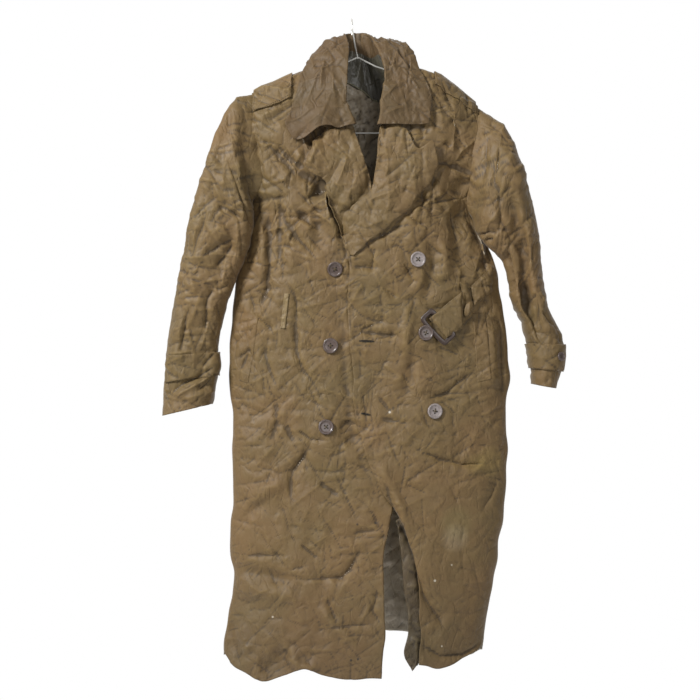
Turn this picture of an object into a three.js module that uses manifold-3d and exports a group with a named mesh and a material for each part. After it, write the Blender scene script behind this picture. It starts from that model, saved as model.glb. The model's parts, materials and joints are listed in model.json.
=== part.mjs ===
// Double-breasted raincoat hung on a thin wire hanger.
// Millimetres, +Z up, the front faces -Y, the wearer's left is +X.
// The origin is the inner top of the hanger's hook, where a rod carries it.
import * as THREE from "three";
import { mergeVertices } from "three/addons/utils/BufferGeometryUtils.js";
import Module from "manifold-3d";

const wasm = await Module();
wasm.setup();

// Cloth and layer sizes
const CLOTH = 1.6; // one proofed layer with its seam allowance
const HEAVY_CLOTH = 2.2; // folded layers of strap, welt and belt
const SEAM_GAP = 0.5; // half the slit between two panels
const LAY_GAP = 0.7; // air between a panel and what lies on it
const LOOSE_GAP = 1.7; // air under belt and cuff straps, which stand off the folds
const STRAP_GAP = 2.6; // air under the shoulder straps over the ridge
const OVERLAP_LIFT = 8; // left front stands this far off the right front
const ARMHOLE_GAP = 2.6; // the sleeve starts this far outside the panels
const SHOULDER_ROLL = 120; // height over which the shoulder rounds down

// Notions
const BUTTON_RADIUS = 14.5;
const BUTTON_THICK = 4;
const CUFF_BUTTON_RADIUS = 8.5;
const WIRE_RADIUS = 1.5;
const HOOK_RADIUS = 21.5;
const BUCKLE = { length: 70, width: 34, bar: 8.5, thick: 3.6 };
const BELT_WIDTH = 48;

const OLIVE = "#7c6a4b";
const OLIVE_DARK = "#6c5c41";
const BUTTON_BROWN = "#6b5b52";
const BUCKLE_BROWN = "#4c423a";
const WIRE_PALE = "#cfc8bf";

// Turns rows of numbers into objects with the given column names.
function table(columns, rows) {
  return rows.map((row) => Object.fromEntries(columns.map((name, i) => [name, row[i]])));
}

function lerp(a, b, t) {
  return a + (b - a) * t;
}

function clamp(value, low, high) {
  return Math.min(high, Math.max(low, value));
}

function smooth(from, to, value) {
  const t = clamp((value - from) / (to - from), 0, 1);
  return t * t * (3 - 2 * t);
}

// Reads one column of a table at a key, straight between rows.
function readAt(rows, key, column, at) {
  const first = rows[0];
  const rising = rows[rows.length - 1][key] > first[key];
  for (let i = 1; i < rows.length; i++) {
    const a = rows[i - 1];
    const b = rows[i];
    const inside = rising ? at <= b[key] : at >= b[key];
    if (inside || i === rows.length - 1) {
      const t = clamp((at - a[key]) / (b[key] - a[key]), 0, 1);
      return lerp(a[column], b[column], t);
    }
  }
  return first[column];
}

// Body sections: side outline and the depth of front and back, a row per height
const BODY = table(["z", "left", "right", "front", "back"], [
  [-60, -262, 302, 44, 44],
  [-150, -258, 302, 48, 48],
  [-220, -250, 296, 52, 50],
  [-290, -228, 275, 56, 50],
  [-340, -190, 246, 56, 48],
  [-374, -193, 230, 55, 47],
  [-430, -204, 256, 52, 45],
  [-479, -219, 276, 49, 43],
  [-532, -224, 283, 47, 42],
  [-616, -232, 296, 47, 42],
  [-684, -232, 299, 48, 43],
  [-730, -228, 293, 49, 44],
  [-821, -226, 295, 52, 46],
  [-912, -226, 291, 56, 49],
  [-1003, -231, 277, 60, 52],
  [-1049, -226, 272, 62, 54],
  [-1117, -231, 258, 66, 56],
  [-1186, -243, 248, 70, 60],
  [-1270, -246, 243, 72, 62],
]);

// Shoulder ridge from the right shoulder point over the neck to the left one
const SHOULDER = table(["x", "z"], [
  [-214, -152],
  [-190, -139],
  [-173, -129],
  [-150, -121],
  [-127, -110],
  [-104, -100],
  [-76, -91],
  [-47, -85],
  [10, -80],
  [78, -88],
  [104, -91],
  [124, -94],
  [146, -99],
  [169, -108],
  [192, -124],
  [215, -143],
  [239, -163],
  [262, -182],
]);

// Largest folds of the front, from one end to the other; height is outward
const FRONT_FOLDS = table(["x1", "z1", "x2", "z2", "width", "height"], [
  [-196, -560, -205, -1010, 16, -5],
  [-160, -330, -148, -560, 14, 4],
  [-118, -600, -96, -980, 20, 5],
  [-70, -330, -84, -520, 12, -4],
  [-60, -820, -30, -1180, 18, -5],
  [-165, -980, -170, -1230, 16, 7],
  [-110, -1080, -92, -1230, 14, -6],
  [110, -300, 214, -400, 18, -5],
  [150, -640, 190, -1000, 20, 4],
  [228, -600, 232, -960, 16, -5],
  [120, -800, 170, -1190, 20, -5],
  [215, -1000, 205, -1190, 18, 6],
  [150, -180, 215, -300, 16, 4],
  [-150, -190, -120, -300, 14, -4],
]);

const BACK_FOLDS = table(["x1", "z1", "x2", "z2", "width", "height"], [
  [-150, -240, -60, -420, 20, -5],
  [190, -270, 110, -430, 20, -5],
  [-160, -560, -150, -1150, 20, 6],
  [-90, -600, -100, -1170, 18, -6],
  [-20, -640, -30, -1170, 20, 6],
  [40, -520, 40, -1170, 12, -4],
  [100, -600, 110, -1170, 20, 6],
  [170, -560, 180, -1170, 18, -6],
  [230, -640, 220, -1150, 18, 5],
]);

// Distance from a point to a fold's line, both in the plane of the coat
function foldHeight(folds, x, z) {
  let sum = 0;
  for (const fold of folds) {
    const dx = fold.x2 - fold.x1;
    const dz = fold.z2 - fold.z1;
    const along = ((x - fold.x1) * dx + (z - fold.z1) * dz) / (dx * dx + dz * dz);
    const t = clamp(along, 0, 1);
    const far = Math.hypot(x - fold.x1 - dx * t, z - fold.z1 - dz * t);
    sum += fold.height * Math.exp(-0.5 * (far / fold.width) ** 2);
  }
  return sum;
}

// How far out of the middle plane the body cloth stands at x, z
function bodyDepth(side, x, z) {
  const left = readAt(BODY, "z", "left", z);
  const right = readAt(BODY, "z", "right", z);
  const depth = readAt(BODY, "z", side < 0 ? "front" : "back", z);
  const across = clamp(Math.abs((2 * x - left - right) / (right - left)), 0, 1);
  const sideRound = Math.sqrt(1 - across ** 3);
  const drop = clamp(readAt(SHOULDER, "x", "z", x) - z, 0, SHOULDER_ROLL);
  const shoulderRound = Math.sqrt(1 - (1 - drop / SHOULDER_ROLL) ** 2);
  const folds = foldHeight(side < 0 ? FRONT_FOLDS : BACK_FOLDS, x, z);
  const calm = sideRound * shoulderRound;
  return SEAM_GAP + depth * calm + folds * calm * calm;
}

// The left front rides over the right front where they overlap.
function leftLift(x) {
  return OVERLAP_LIFT * (1 - smooth(120, 215, x));
}

const rightFrontAt = (x, z) => new THREE.Vector3(x, -bodyDepth(-1, x, z), z);
const leftFrontAt = (x, z) => new THREE.Vector3(x, -bodyDepth(-1, x, z) - leftLift(x), z);
const backAt = (x, z) => new THREE.Vector3(x, bodyDepth(1, x, z), z);

// Outward unit normal of one of the three surfaces above
function normalAt(surface, x, z) {
  const step = 3;
  const across = surface(x + step, z).sub(surface(x - step, z));
  const down = surface(x, z - step).sub(surface(x, z + step));
  const normal = across.cross(down).normalize();
  const outward = Math.sign(surface(x, z).y) || -1;
  return normal.y * outward < 0 ? normal.negate() : normal;
}

// A point of a surface moved out by a distance
function moved(surface, x, z, out) {
  return surface(x, z).addScaledVector(normalAt(surface, x, z), out);
}

// A smooth curve through table rows with columns x and z
function curveOf(rows) {
  const points = rows.map((row) => new THREE.Vector3(row.x, 0, row.z));
  const curve = new THREE.CatmullRomCurve3(points, false, "centripetal");
  curve.arcLengthDivisions = 400;
  return (t) => curve.getPointAt(clamp(t, 0, 1));
}

// A four-sided flat pattern stretched between its edge curves
function pattern(top, bottom, first, last) {
  return (s, t) => {
    const p = top(s).multiplyScalar(1 - t).addScaledVector(bottom(s), t);
    p.addScaledVector(first(t), 1 - s).addScaledVector(last(t), s);
    p.addScaledVector(top(0), -(1 - s) * (1 - t)).addScaledVector(top(1), -s * (1 - t));
    p.addScaledVector(bottom(0), -(1 - s) * t).addScaledVector(bottom(1), -s * t);
    return p;
  };
}

// Rows of points over a pattern; "ease" packs columns towards the first edge,
// or towards both when it is "both".
function gridOf(across, down, ease, place) {
  const rows = [];
  for (let r = 0; r <= down; r++) {
    const row = [];
    for (let c = 0; c <= across; c++) {
      const u = c / across;
      let s = u;
      if (ease === "first") s = u ** 1.5;
      if (ease === "both") s = 0.5 - 0.5 * Math.sign(0.5 - u) * Math.abs(1 - 2 * u) ** 0.66;
      row.push(place(s, r / down));
    }
    rows.push(row);
  }
  return rows;
}

// Normals of a grid of points, pointing one way over the whole sheet
function gridNormals(grid, loop) {
  const down = grid.length;
  const across = grid[0].length;
  return grid.map((row, r) => row.map((_, c) => {
    const before = loop ? (c - 1 + across) % across : Math.max(0, c - 1);
    const after = loop ? (c + 1) % across : Math.min(across - 1, c + 1);
    const u = grid[r][after].clone().sub(grid[r][before]);
    const v = grid[Math.min(down - 1, r + 1)][c].clone().sub(grid[Math.max(0, r - 1)][c]);
    return u.cross(v).normalize();
  }));
}

function signedVolume(points, faces) {
  let volume = 0;
  for (const [a, b, c] of faces) {
    volume += points[a].dot(points[b].clone().cross(points[c]));
  }
  return volume / 6;
}

function geometryOf(points, faces) {
  const out = signedVolume(points, faces) < 0 ? faces.map(([a, b, c]) => [a, c, b]) : faces;
  const geometry = new THREE.BufferGeometry();
  const numbers = points.flatMap((p) => [p.x, p.y, p.z]);
  geometry.setAttribute("position", new THREE.Float32BufferAttribute(numbers, 3));
  geometry.setIndex(out.flat());
  return geometry;
}

// Gives a sheet of points a thickness: "inward" is a function that gives the
// rough direction of the hidden side at a point, "keep" may nudge hidden points.
function wall(grid, thickness, { inward, loop = false, keep = null }) {
  const down = grid.length;
  const across = grid[0].length;
  const normals = gridNormals(grid, loop);
  let vote = 0;
  grid.forEach((row, r) => row.forEach((p, c) => { vote += normals[r][c].dot(inward(p, r, c)); }));
  const turn = vote < 0 ? -thickness : thickness;
  const points = grid.flat().map((p) => p.clone());
  grid.forEach((row, r) => row.forEach((p, c) => {
    const hidden = p.clone().addScaledVector(normals[r][c], turn);
    if (keep) keep(hidden, r, c);
    points.push(hidden);
  }));
  const outer = (r, c) => r * across + (c % across);
  const inner = (r, c) => down * across + outer(r, c);
  const faces = [];
  const quad = (a, b, c, d) => faces.push([a, b, c], [a, c, d]);
  const spans = loop ? across : across - 1;
  for (let r = 0; r < down - 1; r++) {
    for (let c = 0; c < spans; c++) {
      quad(outer(r, c), outer(r, c + 1), outer(r + 1, c + 1), outer(r + 1, c));
      quad(inner(r, c), inner(r + 1, c), inner(r + 1, c + 1), inner(r, c + 1));
    }
  }
  for (let c = 0; c < spans; c++) {
    quad(outer(0, c), inner(0, c), inner(0, c + 1), outer(0, c + 1));
    const r = down - 1;
    quad(outer(r, c), outer(r, c + 1), inner(r, c + 1), inner(r, c));
  }
  if (!loop) {
    const last = across - 1;
    for (let r = 0; r < down - 1; r++) {
      quad(outer(r, 0), outer(r + 1, 0), inner(r + 1, 0), inner(r, 0));
      quad(outer(r, last), inner(r, last), inner(r + 1, last), outer(r + 1, last));
    }
  }
  return geometryOf(points, faces);
}

function meshOf(name, geometry, colour, roughness = 0.7, metalness = 0) {
  const material = new THREE.MeshStandardMaterial({ color: colour, roughness, metalness });
  const mesh = new THREE.Mesh(geometry, material);
  geometry.computeVertexNormals();
  mesh.name = name;
  return mesh;
}

// Body panels

// Front armholes from the shoulder point down to the underarm
const RIGHT_ARMHOLE = table(["x", "z"], [
  [-190, -140],
  [-187, -186],
  [-181, -250],
  [-174, -300],
  [-177, -326],
  [-190, -341],
]);

const LEFT_ARMHOLE = table(["x", "z"], [
  [239, -164],
  [238, -200],
  [230, -260],
  [222, -320],
  [222, -352],
  [231, -375],
]);

// Side seam below the armhole: the outline column of the body sections
function sideRows(column, from, to) {
  const rows = BODY.filter((row) => row.z < from - 12 && row.z > to + 12);
  const side = rows.map((row) => ({ x: row[column], z: row.z }));
  side.push({ x: readAt(BODY, "z", column, to), z: to });
  return side;
}

const SHOULDER_RIGHT = SHOULDER.filter((row) => row.x >= -190 && row.x <= -47);
const SHOULDER_LEFT = SHOULDER.filter((row) => row.x >= 78 && row.x <= 239).reverse();

// Inner edge of the right front: neck seam, roll line, then the hidden edge
const RIGHT_EDGE = table(["x", "z"], [
  [-47, -85],
  [-37, -138],
  [-20, -186],
  [2, -208],
  [8, -228],
  [21, -266],
  [34, -304],
  [44, -345],
  [66, -392],
  [84, -440],
  [93, -520],
  [95, -700],
  [90, -850],
  [72, -940],
  [62, -995],
  [60, -1050],
  [61, -1140],
  [55, -1237],
]);

// Inner edge of the left front: neck seam, roll line to the first button, edge
const LEFT_EDGE = table(["x", "z"], [
  [78, -88],
  [80, -125],
  [74, -158],
  [66, -186],
  [54, -210],
  [49, -228],
  [44, -290],
  [37, -325],
  [20, -345],
  [-3, -363],
  [-11, -395],
  [-12, -430],
  [-7, -456],
  [-9, -532],
  [-4, -614],
  [1, -684],
  [6, -755],
  [20, -807],
  [38, -850],
  [62, -903],
  [84, -934],
  [104, -975],
  [120, -1037],
  [127, -1123],
  [124, -1211],
]);

const RIGHT_HEM = table(["x", "z"], [
  [-243, -1200],
  [-222, -1222],
  [-200, -1233],
  [-165, -1243],
  [-127, -1231],
  [-89, -1218],
  [-51, -1231],
  [-10, -1239],
  [55, -1237],
]);

const LEFT_HEM = table(["x", "z"], [
  [250, -1168],
  [236, -1190],
  [203, -1206],
  [180, -1216],
  [158, -1220],
  [140, -1214],
  [124, -1211],
]);

const BACK_HEM = table(["x", "z"], [
  [-243, -1206],
  [-180, -1200],
  [-90, -1188],
  [30, -1180],
  [140, -1190],
  [220, -1212],
  [245, -1196],
]);

const NECKLINE = table(["x", "z"], [
  [-190, -140],
  [-150, -121],
  [-104, -100],
  [-47, -86],
  [-38, -104],
  [-14, -122],
  [20, -129],
  [50, -122],
  [70, -106],
  [79, -89],
  [124, -95],
  [169, -108],
  [215, -143],
  [239, -164],
]);

const facingBack = () => new THREE.Vector3(0, 1, 0);
const facingFront = () => new THREE.Vector3(0, -1, 0);
const stayInFront = (p) => { p.y = Math.min(p.y, -SEAM_GAP * 0.7); };
const stayBehind = (p) => { p.y = Math.max(p.y, SEAM_GAP * 0.7); };

function rightFront() {
  const flat = pattern(
    curveOf(SHOULDER_RIGHT),
    curveOf(RIGHT_HEM),
    curveOf([...RIGHT_ARMHOLE, ...sideRows("left", -341, -1200)]),
    curveOf(RIGHT_EDGE),
  );
  const grid = gridOf(12, 27, "first", (s, t) => {
    const p = flat(s, t);
    return rightFrontAt(p.x, p.z);
  });
  return meshOf("front_right", wall(grid, CLOTH, { inward: facingBack, keep: stayInFront }), OLIVE);
}

function leftFront() {
  const flat = pattern(
    curveOf(SHOULDER_LEFT),
    curveOf(LEFT_HEM),
    curveOf([...LEFT_ARMHOLE, ...sideRows("right", -375, -1168)]),
    curveOf(LEFT_EDGE),
  );
  const grid = gridOf(12, 28, "first", (s, t) => {
    const p = flat(s, t);
    return leftFrontAt(p.x, p.z);
  });
  return meshOf("front_left", wall(grid, CLOTH, { inward: facingBack, keep: stayInFront }), OLIVE);
}

function backPanel() {
  const flat = pattern(
    curveOf(NECKLINE),
    curveOf(BACK_HEM),
    curveOf([...RIGHT_ARMHOLE, ...sideRows("left", -341, -1206)]),
    curveOf([...LEFT_ARMHOLE, ...sideRows("right", -375, -1196)]),
  );
  const grid = gridOf(20, 24, "both", (s, t) => {
    const p = flat(s, t);
    return backAt(p.x, p.z);
  });
  return meshOf("back", wall(grid, CLOTH, { inward: facingFront, keep: stayBehind }), OLIVE_DARK);
}

// Sleeves: a ring per row, from its outer to its inner outline point;
// "forward" is the ring's middle and "depth" half its thickness.
const SLEEVE_COLUMNS = ["outX", "outZ", "inX", "inZ", "forward", "depth"];

const RIGHT_SLEEVE = table(SLEEVE_COLUMNS, [
  [-219, -148, -196, -350, -2, 42],
  [-241, -182, -197, -365, -8, 44],
  [-256, -220, -199, -384, -14, 44],
  [-270, -262, -202, -407, -20, 43],
  [-284, -305, -206, -432, -24, 42],
  [-299, -352, -212, -458, -25, 41],
  [-313, -405, -220, -482, -25, 40],
  [-324, -460, -229, -507, -22, 39],
  [-335, -520, -238, -536, -18, 38],
  [-344, -575, -247, -580, -16, 37],
  [-349, -625, -254, -620, -16, 36],
  [-355, -668, -252, -656, -16, 37],
  [-357, -710, -259, -692, -16, 38],
  [-357, -751, -264, -728, -16, 38],
]);

const LEFT_SLEEVE = table(SLEEVE_COLUMNS, [
  [262, -182, 237, -388, -2, 44],
  [285, -201, 245, -402, -8, 46],
  [306, -236, 256, -418, -14, 46],
  [318, -277, 267, -433, -20, 45],
  [331, -322, 278, -448, -22, 44],
  [346, -368, 286, -462, -22, 43],
  [354, -412, 290, -480, -20, 42],
  [357, -456, 293, -502, -18, 42],
  [364, -500, 297, -526, -16, 42],
  [370, -545, 307, -552, -16, 42],
  [384, -573, 320, -574, -16, 41],
  [396, -597, 326, -598, -16, 40],
  [401, -630, 334, -626, -16, 40],
  [397, -664, 338, -658, -16, 40],
  [387, -700, 338, -691, -16, 40],
]);

const RING_POINTS = 18;
const RING_SQUARENESS = 2.3;

function roundPower(value) {
  return Math.sign(value) * Math.abs(value) ** (2 / RING_SQUARENESS);
}

// The ring where a sleeve meets the body: the armhole, a hair outside it
function armholeRing(armhole, outwards) {
  const curve = curveOf(armhole);
  return (angle) => {
    const turn = angle <= Math.PI ? angle : 2 * Math.PI - angle;
    const p = curve((1 - Math.cos(turn)) / 2);
    const depth = bodyDepth(angle <= Math.PI ? -1 : 1, p.x, p.z);
    const y = angle <= Math.PI ? -depth : depth;
    const lid = turn < 0.01 || turn > Math.PI - 0.01 ? 0 : y;
    const down = turn > Math.PI * 0.8 ? -0.8 : 0;
    return new THREE.Vector3(p.x + outwards * ARMHOLE_GAP, lid, p.z + down);
  };
}

function sleeveRing(row) {
  return (angle) => {
    const along = (1 - roundPower(Math.cos(angle))) / 2;
    const x = lerp(row.outX, row.inX, along);
    const z = lerp(row.outZ, row.inZ, along);
    return new THREE.Vector3(x, row.forward - row.depth * roundPower(Math.sin(angle)), z);
  };
}

// A point of a sleeve: "place" counts rings from the armhole, "angle" goes
// from the outer outline over the front to the inner outline and back behind.
function sleevePoint(armhole, outwards, rows, folds) {
  const rings = [armholeRing(armhole, outwards), ...rows.map(sleeveRing)];
  return (place, angle) => {
    const low = clamp(Math.floor(place), 0, rings.length - 2);
    const p = rings[low](angle).lerp(rings[low + 1](angle), place - low);
    for (const fold of folds) {
      const far = Math.hypot((place - fold.place) / fold.long, (angle - fold.angle) / fold.wide);
      p.y += fold.push * Math.exp(-0.5 * far * far);
    }
    return p;
  };
}

// Folds of the sleeves; push is along +Y, so a dent in the front is positive
const SLEEVE_FOLD_COLUMNS = ["place", "angle", "long", "wide", "push"];

const RIGHT_SLEEVE_FOLDS = table(SLEEVE_FOLD_COLUMNS, [
  [4, 1.2, 0.9, 0.35, 6],
  [7, 1.9, 1.2, 0.3, 7],
  [9.5, 1.1, 1.1, 0.35, -5],
  [11.5, 1.8, 0.9, 0.35, 6],
  [6, 4.6, 1.5, 0.4, -6],
  [10, 4.9, 1.3, 0.4, 6],
]);

const LEFT_SLEEVE_FOLDS = table(SLEEVE_FOLD_COLUMNS, [
  [6.5, 1.75, 1.5, 0.28, 9],
  [9.5, 1.75, 1.3, 0.28, 9],
  [3.5, 1.0, 0.9, 0.35, -5],
  [12.5, 1.3, 0.9, 0.35, 5],
  [6, 4.6, 1.5, 0.4, -6],
  [10.5, 4.8, 1.3, 0.4, 6],
]);

const rightSleeveAt = sleevePoint(RIGHT_ARMHOLE, -1, RIGHT_SLEEVE, RIGHT_SLEEVE_FOLDS);
const leftSleeveAt = sleevePoint(LEFT_ARMHOLE, 1, LEFT_SLEEVE, LEFT_SLEEVE_FOLDS);

function sleeve(name, at, count) {
  const grid = [];
  const middles = [];
  const steps = count;
  for (let r = 0; r <= steps; r++) {
    const place = (r / steps) * count;
    const row = [];
    const middle = new THREE.Vector3();
    for (let c = 0; c < RING_POINTS; c++) {
      row.push(at(place, (c / RING_POINTS) * 2 * Math.PI));
      middle.addScaledVector(row[c], 1 / RING_POINTS);
    }
    grid.push(row);
    middles.push(middle);
  }
  const inward = (p, r) => middles[r].clone().sub(p);
  return meshOf(name, wall(grid, CLOTH, { inward, loop: true }), OLIVE);
}

// Collar: seam at the neckline, roll at the top, free edge; "facing" turns
// round the neck from the front (-90) over the back (-270) to the front (-450).
const COLLAR_COLUMNS = [
  "side", "baseX", "baseZ", "rollX", "rollY", "rollZ", "edgeX", "edgeY", "edgeZ", "facing",
];

const COLLAR = table(COLLAR_COLUMNS, [
  [-1, -9, -198, 3, -56, -206, -110, -56, -228, -90],
  [-1, -18, -185, -3, -57, -189, -125, -56, -207, -90],
  [-1, -27, -163, -9, -56, -169, -118, -52, -185, -90],
  [-1, -33, -139, -11, -54, -145, -110, -47, -160, -90],
  [-1, -38, -116, -10, -50, -116, -102, -38, -132, -95],
  [-1, -42, -99, -8, -42, -86, -95, -26, -108, -110],
  [-1, -44, -87, -8, -28, -58, -84, -8, -80, -150],
  [1, -32, -100, -14, -2, -38, -72, 20, -68, -200],
  [1, -30, -108, -14, 26, -29, -52, 54, -82, -240],
  [1, 20, -126, 10, 40, -25, 14, 66, -110, -270],
  [1, 54, -115, 32, 28, -29, 66, 56, -74, -300],
  [1, 72, -98, 42, 6, -40, 90, 24, -48, -340],
  [-1, 76, -89, 52, -14, -62, 110, -10, -68, -390],
  [-1, 76, -107, 62, -32, -92, 127, -32, -98, -430],
  [-1, 76, -127, 62, -44, -125, 143, -44, -133, -450],
  [-1, 71, -156, 58, -54, -158, 150, -51, -160, -450],
  [-1, 63, -183, 55, -59, -188, 147, -55, -187, -450],
  [-1, 56, -200, 51, -62, -207, 143, -57, -206, -450],
]);

const COLLAR_ROLL_RADIUS = 3;
const COLLAR_CLEAR = 5;

function collar() {
  const along = (pick) => {
    const curve = new THREE.CatmullRomCurve3(COLLAR.map(pick), false, "centripetal");
    return (t) => curve.getPoint(t);
  };
  const base = along((row) => {
    const surface = row.side < 0 ? (row.baseX > 30 ? leftFrontAt : rightFrontAt) : backAt;
    return surface(row.baseX, row.baseZ);
  });
  const roll = along((row) => new THREE.Vector3(row.rollX, row.rollY, row.rollZ));
  const edge = along((row) => new THREE.Vector3(row.edgeX, row.edgeY, row.edgeZ));
  const steps = 30;
  const grid = [];
  for (let r = 0; r <= steps; r++) {
    const t = r / steps;
    const place = t * (COLLAR.length - 1);
    const low = Math.min(COLLAR.length - 2, Math.floor(place));
    const turn = lerp(COLLAR[low].facing, COLLAR[low + 1].facing, place - low);
    const radians = (turn * Math.PI) / 180;
    const outward = new THREE.Vector3(Math.cos(radians), Math.sin(radians), 0);
    const front = COLLAR[low].side < 0 && COLLAR[low + 1].side < 0;
    const behind = COLLAR[low].side > 0 && COLLAR[low + 1].side > 0;
    const rollIn = roll(t).addScaledVector(outward, -COLLAR_ROLL_RADIUS);
    const rollOut = roll(t).addScaledVector(outward, COLLAR_ROLL_RADIUS);
    const tip = roll(t);
    const down = base(t).add(edge(t)).multiplyScalar(0.5).sub(tip).normalize();
    tip.addScaledVector(down, -COLLAR_ROLL_RADIUS);
    const row = [];
    for (const s of [0, 0.35, 0.7, 1]) row.push(base(t).lerp(rollIn, s));
    row.push(tip);
    for (const s of [0, 0.16, 0.36, 0.58, 0.8, 1]) {
      const p = rollOut.clone().lerp(edge(t), s);
      if (s > 0.1 && front) {
        const under = p.x > 30 ? leftFrontAt : rightFrontAt;
        if (p.z < readAt(SHOULDER, "x", "z", p.x)) {
          p.y = Math.min(p.y, under(p.x, p.z).y - COLLAR_CLEAR);
        }
      }
      if (s > 0.1 && behind && p.z < readAt(SHOULDER, "x", "z", p.x)) {
        p.y = Math.max(p.y, backAt(p.x, p.z).y + COLLAR_CLEAR);
      }
      row.push(p);
    }
    grid.push(row);
  }
  // the hidden side is the one between seam and free edge
  const inward = (p, r, c) => {
    const row = grid[r];
    return row[1].clone().add(row[7]).multiplyScalar(0.5).sub(row[4]);
  };
  const onRoll = (p, r, c) => (c === 4 ? inward(p, r, c) : new THREE.Vector3());
  return meshOf("collar", wall(grid, CLOTH, { inward: onRoll }), OLIVE);
}

// Lapels lie on their fronts, turned out from the roll line.
const LEFT_LAPEL = {
  top: table(["x", "z"], [[55, -214], [97, -214], [122, -252], [148, -236]]),
  roll: table(["x", "z"], [
    [55, -214],
    [48, -256],
    [44, -292],
    [36, -328],
    [2, -362],
    [-9, -393],
    [-10, -427],
    [-4, -450],
  ]),
  free: table(["x", "z"], [
    [148, -236],
    [154, -266],
    [152, -293],
    [125, -331],
    [97, -363],
    [68, -391],
    [30, -424],
    [2, -451],
  ]),
  bottom: table(["x", "z"], [[-4, -450], [2, -451]]),
};

const RIGHT_LAPEL = {
  top: table(["x", "z"], [[4, -213], [-42, -216], [-66, -234], [-87, -281]]),
  roll: table(["x", "z"], [
    [4, -213],
    [9, -230],
    [21, -266],
    [33, -304],
    [36, -334],
    [27, -370],
    [12, -408],
    [1, -450],
  ]),
  free: table(["x", "z"], [
    [-87, -281],
    [-76, -292],
    [-52, -306],
    [-47, -322],
    [-45, -351],
    [-27, -403],
    [-6, -451],
  ]),
  bottom: table(["x", "z"], [[1, -450], [-6, -451]]),
};

function lapel(name, shape, surface, stand) {
  const sides = [shape.top, shape.bottom, shape.roll, shape.free].map(curveOf);
  const flat = pattern(...sides);
  const grid = gridOf(7, 12, "none", (s, t) => {
    const p = flat(s, t);
    const out = CLOTH + LAY_GAP + stand * Math.sin(Math.PI * 0.5 * s) * (1 - 0.7 * t);
    return moved(surface, p.x, p.z, out);
  });
  return meshOf(name, wall(grid, CLOTH, { inward: facingBack }), OLIVE);
}

// A strip or patch that lies on a panel, with four corner points
function patch(name, surface, corners, across, down, thickness, out, colour) {
  const [a, b, c, d] = corners;
  const grid = gridOf(across, down, "none", (s, t) => {
    const x = lerp(lerp(a[0], b[0], s), lerp(d[0], c[0], s), t);
    const z = lerp(lerp(a[1], b[1], s), lerp(d[1], c[1], s), t);
    return moved(surface, x, z, out + thickness);
  });
  const front = surface !== backAt;
  const inward = front ? facingBack : facingFront;
  return meshOf(name, wall(grid, thickness, { inward }), colour);
}

// Shoulder straps over the ridge; drops are how far they reach down each side
function shoulderStrap(name, rows, surface) {
  const grid = rows.map((row) => {
    const ridge = readAt(SHOULDER, "x", "z", row.x);
    const line = [];
    for (const part of [1, 0.7, 0.42, 0.2, 0.06]) {
      line.push(strapPoint(row.x, ridge, -1, row.front * part, surface));
    }
    line.push(new THREE.Vector3(row.x, 0, ridge + HEAVY_CLOTH + STRAP_GAP));
    for (const part of [0.08, 0.3, 0.65, 1]) {
      line.push(strapPoint(row.x, ridge, 1, row.back * part, backAt));
    }
    return line;
  });
  const inward = (p) => new THREE.Vector3(0, -p.y, -20);
  return meshOf(name, wall(grid, HEAVY_CLOTH, { inward }), OLIVE);
}

function strapPoint(x, ridge, side, drop, surface) {
  const flat = side < 0 ? surface : backAt;
  const angle = Math.acos(1 - drop / SHOULDER_ROLL);
  const depth = readAt(BODY, "z", side < 0 ? "front" : "back", ridge);
  const up = Math.cos(angle) / SHOULDER_ROLL;
  const out = Math.sin(angle) / depth;
  const size = Math.hypot(up, out);
  const away = HEAVY_CLOTH + STRAP_GAP;
  const p = flat(x, ridge - drop);
  p.y += (side * away * out) / size;
  p.z += (away * up) / size;
  return p;
}

const RIGHT_STRAP = table(["x", "front", "back"], [
  [-187, 44, 8],
  [-165, 47, 8],
  [-140, 50, 8],
  [-114, 48, 8],
]);

const LEFT_STRAP = table(["x", "front", "back"], [
  [235, 22, 20],
  [220, 25, 22],
  [198, 28, 22],
  [176, 30, 22],
  [156, 28, 20],
]);

// Small strap round a cuff, from the sleeve's own points moved out
function cuffStrap(name, at, from, to, start, end) {
  const steps = 14;
  const grid = [];
  for (let r = 0; r <= 3; r++) {
    const row = [];
    for (let c = 0; c <= steps; c++) {
      const angle = lerp(start, end, c / steps);
      const place = lerp(from, to, r / 3);
      const p = at(place, angle);
      const u = at(place, angle + 0.05).sub(at(place, angle - 0.05));
      const v = at(place + 0.1, angle).sub(at(place - 0.1, angle));
      const n = u.cross(v).normalize();
      const middle = at(place, angle + Math.PI);
      if (n.dot(middle.sub(p)) > 0) n.negate();
      row.push(p.addScaledVector(n, HEAVY_CLOTH + LOOSE_GAP));
    }
    grid.push(row);
  }
  const centre = grid[1][0].clone().lerp(grid[1][steps], 0.5);
  centre.y = at(from, 0).y;
  const inward = (p) => centre.clone().sub(p);
  return meshOf(name, wall(grid, HEAVY_CLOTH, { inward }), OLIVE);
}

// A four-hole button with a raised rim, its back on the given point
function buttonGeometry(radius, thick) {
  const profile = [
    [0, 0],
    [radius * 0.9, 0],
    [radius, thick * 0.45],
    [radius * 0.95, thick * 0.92],
    [radius * 0.86, thick],
    [radius * 0.68, thick * 0.66],
    [0, thick * 0.62],
  ].map(([r, h]) => new THREE.Vector2(r, h));
  const disc = solidOf(new THREE.LatheGeometry(profile, 14));
  const reach = radius * 0.2;
  let button = disc;
  for (const [dx, dz] of [[1, 1], [1, -1], [-1, 1], [-1, -1]]) {
    const pin = new THREE.CylinderGeometry(radius * 0.085, radius * 0.085, thick * 3, 5);
    pin.translate(dx * reach, 0, dz * reach);
    button = button.subtract(solidOf(pin));
  }
  return fromSolid(button);
}

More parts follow.
